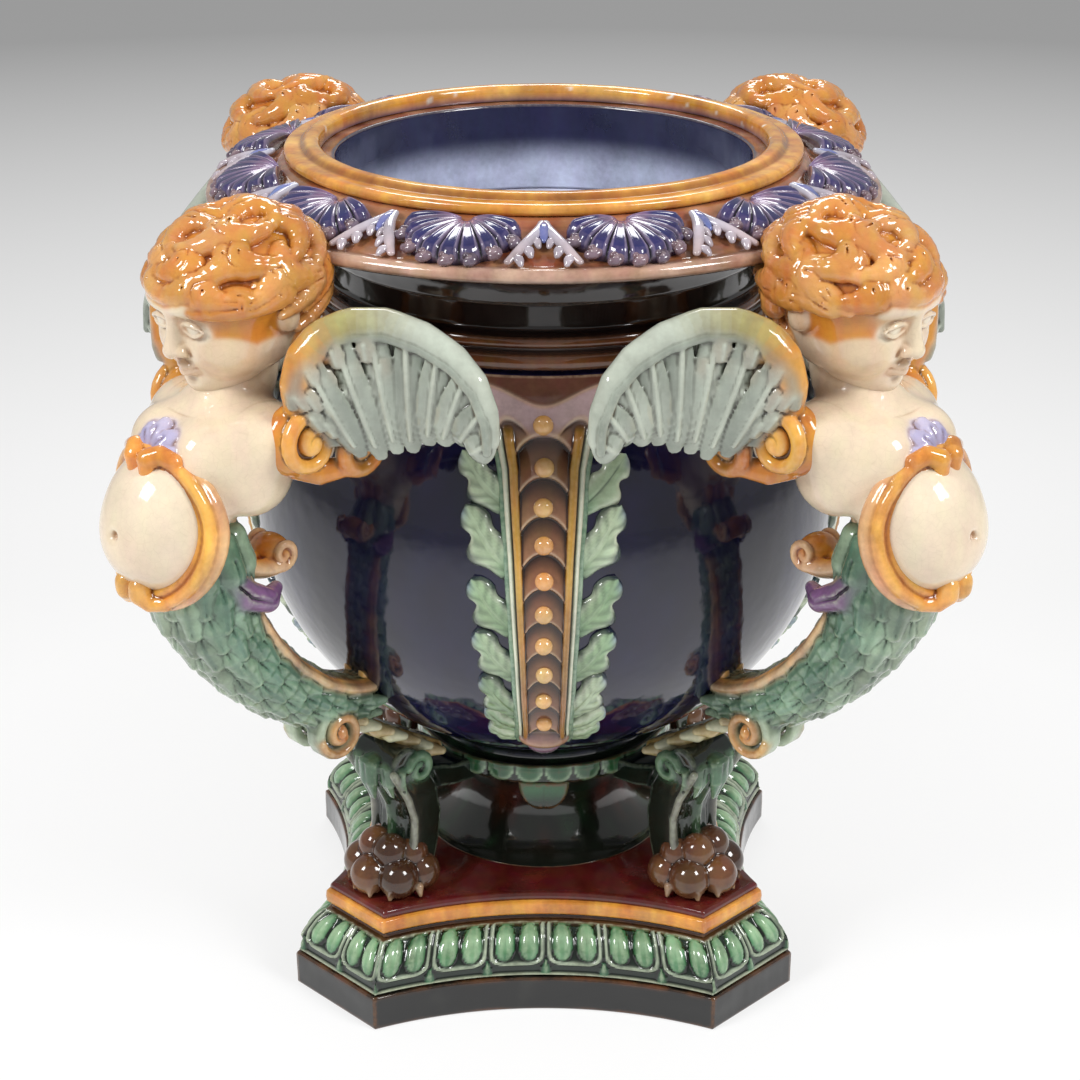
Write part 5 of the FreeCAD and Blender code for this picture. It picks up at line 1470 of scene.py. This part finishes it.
def on_collar(outward, aside, lift):
    """A point over the collar's slope, given outward of the apex circle, sideways and upwards."""
    across = outward + 0.0
    r = np.hypot(across, aside)
    level = collar_level(r)
    normal = np.array((COLLAR_FALL, 1.0)) / math.hypot(COLLAR_FALL, 1)
    return np.stack([across + normal[0] * lift, aside + 0 * across, level + normal[1] * lift], -1)


def one_shell():
    """A scallop that hangs from the rim: nine fluted panels between pale ribs, its edge rolled into knobs."""
    rng = np.random.default_rng(5)
    heap = Heap()
    spread, flutes = math.radians(80), 9
    phi = np.linspace(-spread, spread, flutes * 12 + 1)[:, None]
    s = np.linspace(0, 1, 26)[None]
    share = (phi + spread) / (2 * spread) * flutes
    inside = np.abs((share % 1.0) * 2 - 1)
    middle = np.cos(phi * 0.5)
    length = 28.5 * (0.80 + 0.20 * np.cos(phi) ** 2) + 0.7 * np.cos(inside * math.pi)
    reach = (0.10 + 0.90 * s) * length
    body = 1.2 + 3.4 * np.sin(np.clip(s, 0, 1) ** 0.8 * math.pi * 0.62) - 3.2 * np.clip((s - 0.86) / 0.14, 0, 1) ** 2
    panel = 1.25 * (1 - inside ** 3) * np.sqrt(np.clip(s * 1.4, 0, 1))
    rib = 0.75 * np.exp(-((inside - 0.74) / 0.12) ** 2) * np.clip(s * 3, 0, 1)
    gap = -1.6 * np.exp(-((inside - 1.0) / 0.10) ** 2) * np.clip(s * 2.4, 0, 1)
    lift = np.maximum(body + panel + rib + gap, -0.6)
    outward = 119.6 + reach * np.cos(phi)
    outward = np.minimum(outward, 149.0)
    aside = reach * np.sin(phi) * 1.08
    front = on_collar(outward, aside, lift)
    back = on_collar(outward, aside, np.full_like(lift, -1.6))
    violet = mix(np.array((0.012, 0.011, 0.085)), np.array((0.14, 0.09, 0.22)), step(0.5, 0.0, s) * np.ones_like(phi))
    violet = mix(violet, np.array((0.30, 0.16, 0.22)), bump(0.22, 0.2, s) * step(0.9, 0.3, inside) * 0.5)
    colour = mix(violet, np.array((0.36, 0.27, 0.36)), np.exp(-((inside - 0.74) / 0.13) ** 2) * (0.85 - 0.5 * step(0.4, 0.9, s)))
    colour = mix(colour, np.array((0.03, 0.03, 0.03)), np.exp(-((inside - 1.0) / 0.13) ** 2) * np.clip(s * 3, 0, 1))
    heap.plate(front, back, colour)
    # Knobs rolled out of the shell's lower edge, and small curls at its upper corners.
    for k, angle in enumerate((-58, -37, -19, -1, 17, 36, 57)):
        a = math.radians(angle)
        reach_k = 28.8 * (0.80 + 0.20 * math.cos(a) ** 2)
        out, side = min(119.6 + reach_k * math.cos(a), 147.6), reach_k * math.sin(a) * 1.08
        size = rng.uniform(2.9, 3.7)
        tint = mix((0.16, 0.09, 0.10), (0.05, 0.03, 0.045), rng.uniform(0, 1))
        curl = []
        for t in np.linspace(0, 1, 12):
            w = -0.6 + t * 5.2
            c = size * (1 - 0.42 * t)
            curl.append(on_collar(np.array(out + c * 0.55 * math.cos(w + a)), np.array(side + c * 0.8 * math.sin(w + a)),
                                  np.array(1.4 + 1.9 * t)))
        tube(heap, curl, np.linspace(1.9, 1.5, 12), tint, sides=10)
        blob(heap, on_collar(np.array(out), np.array(side), np.array(2.2)), (size * 0.8, size * 0.8, size * 0.62),
             mix(tint, (0.55, 0.42, 0.40), 0.22), sides=12)
    return heap


def one_anthemion():
    """The pale sprig between two shells: two leafy arms from a bud under the rim."""
    heap = Heap()
    pale, blue = np.array((0.40, 0.42, 0.50)), np.array((0.10, 0.14, 0.36))
    for side in (1, -1):
        arm = [on_collar(np.array(122.5 + 24 * t ** 0.9), np.array(side * (0.8 + 13.5 * t ** 1.3)), np.array(1.4 + 1.1 * math.sin(t * 3)))
               for t in np.linspace(0, 1, 12)]
        tube(heap, arm, 1.0 + 1.5 * np.sin(np.linspace(0.5, 2.7, 12)), [mix(pale, (0.50, 0.30, 0.22), t * 0.55) for t in np.linspace(0, 1, 12)],
             sides=10, flat=0.75)
        for t, size in ((0.38, 2.0), (0.62, 2.4), (0.86, 2.2)):
            root = np.array((122.5 + 24 * t ** 0.9, side * (0.8 + 12.5 * t ** 1.5)))
            leaf = [on_collar(np.array(root[0] + 4.6 * k), np.array(root[1] - side * 1.6 * k), np.array(1.2 + 0.9 * math.sin(k * 3)))
                    for k in np.linspace(0, 1, 6)]
            tube(heap, leaf, size * (0.45 + 0.55 * np.sin(np.linspace(0.4, 2.8, 6))), mix(pale, (0.46, 0.26, 0.18), 0.3), sides=8, flat=0.7)
    bud = [on_collar(np.array(123.0 + 11 * t), np.array(0.0), np.array(1.6 + 0.8 * math.sin(t * 3))) for t in np.linspace(0, 1, 8)]
    tube(heap, bud, 0.9 + 1.5 * np.sin(np.linspace(0.3, 2.9, 8)), blue, sides=10, flat=0.8)
    return heap


def shells():
    heap = Heap()
    shell, sprig = one_shell(), one_anthemion()
    for number in range(12):
        heap.turned(15 + 30 * number, shell)
        heap.turned(30 * number, sprig)
    heap.build("seen_collar_shells", "jardiniere", ["collar_shells"], "lilac_glaze", GLAZES["lilac_glaze"], rounds=4)


collar()
shells()


# ---------------------------------------------------------------- straps and leaf borders, laid on the bowl

BOWL_INNER = arc_between(BOWL_LOW, (BELLY_RADIUS, BELLY_LEVEL), BOWL_HIGH, 400)
BOWL_R = np.array([p[0] for p in BOWL_INNER])
BOWL_Z = np.array([p[1] for p in BOWL_INNER])


def on_bowl(aside, level, lift):
    """A point over the bowl's front, given sideways along its skin, at a level, and raised off it."""
    aside, level, lift = np.broadcast_arrays(np.asarray(aside, float), np.asarray(level, float), np.asarray(lift, float))
    r = np.interp(level, BOWL_Z, BOWL_R)
    slope = np.interp(level, BOWL_Z, np.gradient(BOWL_R, BOWL_Z))
    scale = np.sqrt(1 + slope ** 2)
    radius, z = r + lift / scale, level - lift * slope / scale
    turn = aside / np.maximum(r, 20)
    return np.stack([radius * np.sin(turn), -radius * np.cos(turn), z], -1)


def strap_half(level):
    return np.interp(level, (133, 139, 150, 160, 172, 200, 250, 286, 301, 311, 319),
                     (0.8, 6.5, 11.5, 11.0, 11.5, 12.5, 15.0, 17.5, 21.0, 28.5, 35.0))


def strap():
    """The riband down the bowl: roof-tile scales with amber studs between ochre and pale green edges."""
    level = np.concatenate([np.linspace(133, 172, 60), np.linspace(172.4, 319, 250)])[:, None]
    u = np.linspace(-1, 1, 61)[None]
    half = strap_half(level)
    inside = np.abs(u)
    pitch, first = 15.2, 302.0
    frame_in = 0.60
    tile = (first + 5.0 - level) / pitch + 0.42 * (1 - np.clip(inside / frame_in, 0, 1) ** 2.2)
    part = tile % 1.0
    lower = step(152, 158, level) * step(306, 300, level)
    channel = 2.0 + 1.9 * part ** 1.3 * step(1.0, 0.94, part)
    edge_line = np.exp(-((part - 0.93) / 0.05) ** 2)
    ochre_roll = 3.4 + 1.7 * np.sqrt(np.clip(1 - ((inside - 0.71) / 0.12) ** 2, 0, 1))
    green_roll = 2.2 + 1.5 * np.sqrt(np.clip(1 - ((inside - 0.915) / 0.085) ** 2, 0, 1))
    lift = np.where(inside < frame_in, channel, np.where(inside < 0.825, ochre_roll, green_roll))
    lift = lift - 1.2 * np.exp(-((inside - 0.6) / 0.02) ** 2) - 1.1 * np.exp(-((inside - 0.83) / 0.02) ** 2)
    # The flared head with two tiers of scalloped edges.
    head = step(296, 303, level)
    tier1 = 299 - 7.0 * np.cos(np.clip(inside, 0, 1) * math.pi * 1.5) * (1 - 0.4 * inside)
    tier2 = 312 - 3.5 * np.cos(np.clip(inside, 0, 1) * math.pi * 1.2)
    flare = 2.4 + 1.6 * step(tier1 - 1.0, tier1 + 1.0, level) - 1.0 * step(tier2 - 1.0, tier2 + 1.0, level) \
        + 1.3 * step(0.86, 0.97, inside)
    lift = lift * (1 - head) + flare * head
    # The finial below: a lipped cup over a pointed drop.
    foot = step(156, 151, level)
    drop = 5.2 * np.sqrt(np.clip(1 - inside ** 2, 0, 1)) * step(131, 142, level) + 1.2 * bump(150, 3.2, level) \
        - 0.9 * bump(145.5, 1.6, level)
    lift = lift * (1 - foot) + drop * foot
    brown, dark, cream = np.array((0.17, 0.075, 0.035)), np.array((0.035, 0.014, 0.009)), np.array((0.52, 0.36, 0.24))
    colour = mix(np.broadcast_to(brown, (*lift.shape, 3)), dark, step(0.55, 0.05, part))
    colour = mix(colour, np.array((0.30, 0.15, 0.08)), step(0.3, 0.85, part) * 0.7)
    colour = mix(colour, cream, edge_line * 0.75)
    ochre = mix(np.broadcast_to(np.array((0.48, 0.25, 0.04)), colour.shape), np.array((0.33, 0.15, 0.04)), step(240, 190, level) * np.ones_like(u))
    green = mix(np.broadcast_to(np.array((0.34, 0.46, 0.34)), colour.shape), np.array((0.68, 0.72, 0.58)), step(0.84, 0.93, inside) * np.ones_like(level))
    colour = mix(colour, ochre, step(0.605, 0.635, inside) * np.ones_like(level))
    colour = mix(colour, green, step(0.81, 0.85, inside) * np.ones_like(level))
    lilac = mix(np.broadcast_to(np.array((0.36, 0.25, 0.25)), colour.shape), np.array((0.10, 0.04, 0.025)),
                step(tier2 - 1.5, tier2 + 1.5, level))
    lilac = mix(lilac, cream, np.exp(-((level - tier1) / 0.9) ** 2) * 0.8 + np.exp(-((level - tier2) / 0.8) ** 2) * 0.7)
    lilac = mix(lilac, np.array((0.07, 0.03, 0.02)), step(tier1 + 0.5, tier1 - 2, level))
    colour = mix(colour, lilac, head * step(0.99, 0.9, inside))
    mauve = mix(np.broadcast_to(np.array((0.24, 0.14, 0.20)), colour.shape), np.array((0.36, 0.20, 0.12)), bump(150, 5, level) * np.ones_like(u))
    colour = mix(colour, mauve, foot * np.ones_like(u))
    heap = Heap()
    heap.plate(on_bowl(u * half, level, lift), on_bowl(u * half, level, -0.8 * np.ones_like(lift)), colour)
    rng = np.random.default_rng(3)
    for number in range(10):
        z = first - number * pitch
        centre = on_bowl(rng.uniform(-0.3, 0.3), z, 3.6)
        size = 4.4 * (1 - 0.02 * number)
        blob(heap, centre, (size, size * 0.9, size), mix((0.60, 0.28, 0.06), (0.74, 0.46, 0.18), rng.uniform(0, 1)), sides=20)
    return heap


def leaflet(heap, side, base, tip, width, second, rng):
    """One lobed leaf of the border: springs from the strap's edge and turns up and out to a rounded tip."""
    t = np.linspace(0, 1, 26)[:, None]
    v = np.linspace(-1, 1, 15)[None]
    base, tip = np.array(base, float), np.array(tip, float)
    bend = base * 0.5 + tip * 0.5 + np.array((1.5, -1.8))
    line = (1 - t) ** 2 * base + 2 * t * (1 - t) * bend + t ** 2 * tip
    tangent = np.gradient(line, axis=0)
    tangent /= np.linalg.norm(tangent, axis=1)[:, None]
    normal = np.stack([tangent[:, 1], -tangent[:, 0]], 1)
    end = np.sqrt(np.clip(1 - np.clip((t - 0.80) / 0.20, 0, 1) ** 2, 0, 1))
    outer = width * (0.55 + 0.45 * np.sin(t * math.pi * 0.9) + second * bump(0.42, 0.20, t) - 0.34 * bump(0.66, 0.12, t)) * end
    inner = width * (0.75 + 0.25 * np.sin(t * math.pi) - 0.22 * bump(0.62, 0.14, t)) * end
    offset = np.where(v > 0, v * outer, v * inner)
    place = line[:, None, :] + offset[..., None] * normal[:, None, :]
    vein = np.exp(-(v / 0.10) ** 2)
    side_veins = 0.25 * np.sin((t * 5 - np.abs(v) * 1.3) * 2 * math.pi) * (1 - np.abs(v)) * np.abs(v) * 3
    lift = 0.8 + 2.7 * np.sin(np.clip(t, 0, 1) * math.pi * 0.62) * np.sqrt(np.clip(1 - (np.abs(v) ** 3) * 0.75, 0, 1)) \
        - 0.7 * vein * step(1, 0.7, t) + side_veins
    lift = lift * (0.35 + 0.65 * np.sqrt(np.clip(1 - np.abs(v) ** 6, 0, 1)))
    pale = mix(np.array((0.24, 0.36, 0.20)), np.array((0.42, 0.52, 0.35)), rng.uniform(0, 1))
    colour = mix(np.broadcast_to(pale, (*lift.shape, 3)), np.array((0.66, 0.72, 0.56)), step(0.45, 0.9, np.abs(v)) * 0.6 * np.ones_like(t))
    colour = mix(colour, np.array((0.10, 0.15, 0.36)), step(0.74, 1.0, t) * step(-0.2, 0.9, v) * 0.75)
    colour = mix(colour, np.array((0.10, 0.22, 0.10)), step(0.35, 0.0, t) * 0.6 * np.ones_like(v))
    heap.plate(on_bowl(side * place[..., 0], place[..., 1], lift), on_bowl(side * place[..., 0], place[..., 1], -0.7 + 0 * lift),
               colour)


def leaf_borders():
    rng = np.random.default_rng(9)
    heap = Heap()
    rows = ((271, 291, 7.2, 0.35), (243, 271, 7.6, 0.5), (215, 240, 7.4, 0.5), (190, 216, 6.8, 0.5),
            (165, 193, 6.4, 0.55), (155, 171, 4.6, 0.5), (147, 160, 3.8, 0.4))
    for side in (1, -1):
        for low, high, width, second in rows:
            edge = float(strap_half(low)) + 0.5
            reach = edge + 16.5 - 2.5 * (low < 170)
            leaflet(heap, side, (edge - 1.0, low), (reach + rng.uniform(-1, 1), high + rng.uniform(-1, 1)), width, second, rng)
        # The long stem that the leaves spring from.
        z = np.linspace(147, 292, 40)
        stem = on_bowl(side * (strap_half(z) + 0.6), z, 1.0 + 0 * z)
        tube(heap, stem, 1.5, (0.09, 0.20, 0.12), sides=8)
    return heap


def straps():
    band, border = strap(), leaf_borders()
    for side, angle in SIDES.items():
        heap = Heap()
        heap.turned(angle, band)
        heap.build("seen_strap_" + side, "jardiniere", ["strap_" + side], "strap_glaze", GLAZES["strap_glaze"], rounds=4)
    leaves = Heap()
    for angle in SIDES.values():
        leaves.turned(angle, border)
    leaves.build("seen_strap_leaves", "jardiniere", ["strap_leaves"], "leaf_green_glaze", GLAZES["leaf_green_glaze"],
                 rounds=4)


straps()


# ---------------------------------------------------------------- bowl's foot, crown, legs and paws

def foot_and_crown():
    def dark(a, r, z, height):
        points = np.stack([r * np.cos(a), r * np.sin(a), z], -1).reshape(-1, 3)
        cloud = noise3(points, 20, 71).reshape(z.shape)
        return mix(np.broadcast_to(np.array((0.012, 0.016, 0.012)), (*z.shape, 3)), np.array((0.02, 0.055, 0.026)),
                   step(-0.2, 0.8, cloud))

    ring = rounded([(45.2, SEAT), (57.8, SEAT), (57.8, SEAT + 7), (54, SEAT + 9), (45.2, SEAT + 9)], 1.2, closed=True)
    lathe(ring, 200, 1.0, tint=dark, closed=True).build("seen_bowl_foot", "jardiniere", ["bowl_foot"], "cobalt_glaze",
                                                      GLAZES["cobalt_glaze"])

    low = PLINTH_TOP + 45.1
    leaves = 28

    def edge(a, r, z):
        # Leaves that lap over the lip and droop outside it.
        share = (a / (2 * math.pi) * leaves) % 1.0 - 0.5
        outside = step(62.5, 63.6, r)
        hang = np.clip(1 - np.abs(share) * 2, 0, 1)
        return outside * (1.1 * np.sqrt(hang) - 1.3) - 0.2

    def leafy(a, r, z, height):
        share = (a / (2 * math.pi) * leaves) % 1.0 - 0.5
        droop = low + 11 - 9.5 * np.sqrt(np.clip(1 - (np.abs(share) * 2) ** 2, 0, 1))
        base = dark(a, r, z, height)
        # Paler green towards each leaf's sides and along its drooping edge is a painted highlight.
        green = mix(np.broadcast_to(np.array((0.03, 0.11, 0.045)), base.shape), np.array((0.26, 0.38, 0.24)),
                    step(0.20, 0.42, np.abs(share)) * 0.5 + np.exp(-((z - droop - 1) / 1.1) ** 2) * 0.8)
        return mix(base, green, step(droop - 0.6, droop + 0.4, z) * step(61.5, 62.5, r))

    profile = [(0, low), (61, low), (63.8, low + 2.6), (64, low + 8), (63.4, low + 10.6), (61.6, low + 11),
               (59.4, low + 10.4), (59, low + 7), (0, low + 7)]
    heap = lathe(profile, 336, 0.9, tint=leafy, relief=edge)
    for azimuth in (270, 0, 90, 180):
        # A rounded tongue hangs from the ring in the middle of each side.
        t = np.linspace(-1, 1, 25)[:, None]
        s = np.linspace(0, 1, 15)[None]
        width = 12.0 * np.sqrt(np.clip(1 - (s * 0.97) ** 2.2, 0, 1))
        x = t * width
        z = low + 2.0 - 15.0 * s + 0 * t
        out = 61.6 + 1.7 * np.sqrt(np.clip(1 - t ** 2, 0, 1)) * np.sqrt(np.clip(1 - s ** 4, 0, 1)) - 0.5 * np.exp(-(t / 0.1) ** 2)
        front = np.stack([out, x, z], -1)
        back = np.stack([59.2 + 0 * out, x, z], -1)
        colour = mix(np.broadcast_to(np.array((0.035, 0.12, 0.05)), front.shape), np.array((0.008, 0.02, 0.012)),
                     step(0.2, 0.8, s) * np.ones_like(t))
        tongue = Heap()
        tongue.plate(front, back, colour)
        heap.turned(azimuth, tongue)
    heap.build("seen_stand_crown", "stand", ["stand_crown"], "black_glaze", GLAZES["black_glaze"])


foot_and_crown()


def leg():
    """A short cabriole leg: a dark curved shin with pale edges, and acanthus turned over at its knee."""
    clay = Clay((52, -26, 62), (132, 26, 136), 0.8)
    dark = np.array((0.006, 0.014, 0.009))
    shin = [(97, 0, 66), (93.5, 0, 78), (92, 0, 90), (95, 0, 103), (101, 0, 114), (104, 0, 121)]
    clay.add(ribbon(shin, 29, 18, (0, 1, 0), dark), 0)
    web = [(98, 0, 113), (86, 0, 108), (72, 0, 103.5), (60, 0, 102)]
    clay.add(ribbon(web, 24, 11, (0, 1, 0), dark), 5)
    for side in (1, -1):
        line = [(103, side * 14.0, 68), (100.5, side * 14.3, 80), (100.4, side * 14.5, 92), (104.5, side * 15.0, 104),
                (110, side * 15.6, 114), (114, side * 16.0, 121)]
        clay.add(rod(line, (1.5, 1.7, 1.8, 1.9, 2.0, 2.0), (0.20, 0.19, 0.16)), 1.0)
        clay.carve(rod([np.array(p) + (1.5, -side * 4.2, 0) for p in line], 1.3, (0.004, 0.012, 0.006)), 1.5)
    clay.add(rod([(104, 0, 70), (101.5, 0, 84), (102.5, 0, 97), (108, 0, 109), (113, 0, 118)], (1.8, 2.6, 3.0, 3.2, 2.6),
                 (0.03, 0.07, 0.035)), 2.5)
    # Acanthus over the knee: five lobes that turn outwards and down.
    for aside, drop, size in ((0, 21, 6.4), (9.5, 17, 5.4), (-9.5, 17, 5.4), (16.5, 11, 4.2), (-16.5, 11, 4.2)):
        top = np.array((108.0 - abs(aside) * 0.25, aside * 0.75, 124.0 - abs(aside) * 0.15))
        bend = top + (7.5 - abs(aside) * 0.12, aside * 0.14, -1.5)
        tip = top + (5.0 - abs(aside) * 0.1, aside * 0.25, -drop)
        middle = (bend + tip) / 2 + (1.2, 0, 0)
        tint = mix((0.025, 0.10, 0.045), (0.22, 0.36, 0.22), 0.25 + 0.3 * (abs(aside) > 5))
        leaf = rod([top, bend, middle, tip], (size * 0.75, size, size * 0.85, size * 0.3), tint, flat=0.5, side=(0, 1, 0))
        clay.add(leaf, 0.5)
        clay.carve(rod([bend + (size * 0.5, 0, 0), middle + (size * 0.46, 0, 0), tip + (size * 0.2, 0, 0)], 0.7,
                       (0.02, 0.06, 0.03)), 0.7, colour=True)
    for side in (1, -1):
        roll = spiral((97, side * 14.5, 118), 7.5, 2.0, 20, 1.2, 16)
        clay.add(rod(roll, np.linspace(2.8, 2.0, 16), (0.12, 0.24, 0.13)), 0.6)
    corner_pieces("lion_leg", clay.skin(0.8, None, dark), "green_glaze", GLAZES["green_glaze"])


leg()


def paw():
    """A lion's paw: a heap of smooth brown pads, the toes in front with small pale claws."""
    clay = Clay((76, -32, PLINTH_TOP - 2), (132, 32, PLINTH_TOP + 30), 0.62)
    base = PLINTH_TOP
    pads = [(96.0, 0, base + 12.0, 12.5), (92, 0, base + 9, 11)]
    for turn, reach, level, radius in ((0, 15.5, 9.0, 9.2), (52, 15.0, 9.0, 9.2), (-52, 15.0, 9.0, 9.2), (103, 14.0, 8.6, 8.4),
                                       (-103, 14.0, 8.6, 8.4), (33, 9.0, 20.0, 8.0), (-33, 9.0, 20.0, 8.0),
                                       (96, 9.5, 18.0, 7.4), (-96, 9.5, 18.0, 7.4)):
        a = math.radians(turn)
        pads.append((100 + 1.05 * reach * math.cos(a), 1.05 * reach * math.sin(a), base + level, 1.08 * radius))
    rng = np.random.default_rng(4)
    for x, y, z, r in pads:
        tint = mix((0.045, 0.018, 0.008), (0.13, 0.052, 0.020), rng.uniform(0, 1))
        clay.add(oval((x, y, z), (r, r * 0.96, r), tint), 0.9)
    for turn in (-78, -40, -14, 14, 40, 78):
        a = math.radians(turn)
        out = np.array((math.cos(a), math.sin(a), 0))
        root = np.array((100, 0, base + 5.5)) + out * 21.5
        clay.add(rod([root, root + out * 1.2 - (0, 0, 4.0)], (2.2, 1.0), (0.30, 0.20, 0.12)), 1.2)
    clay.trim(lambda x, y, z: (PLINTH_TOP + 0.15) - z)
    corner_pieces("lion_paw", clay.skin(0.8, None, BROWN), "brown_glaze", GLAZES["brown_glaze"])


paw()
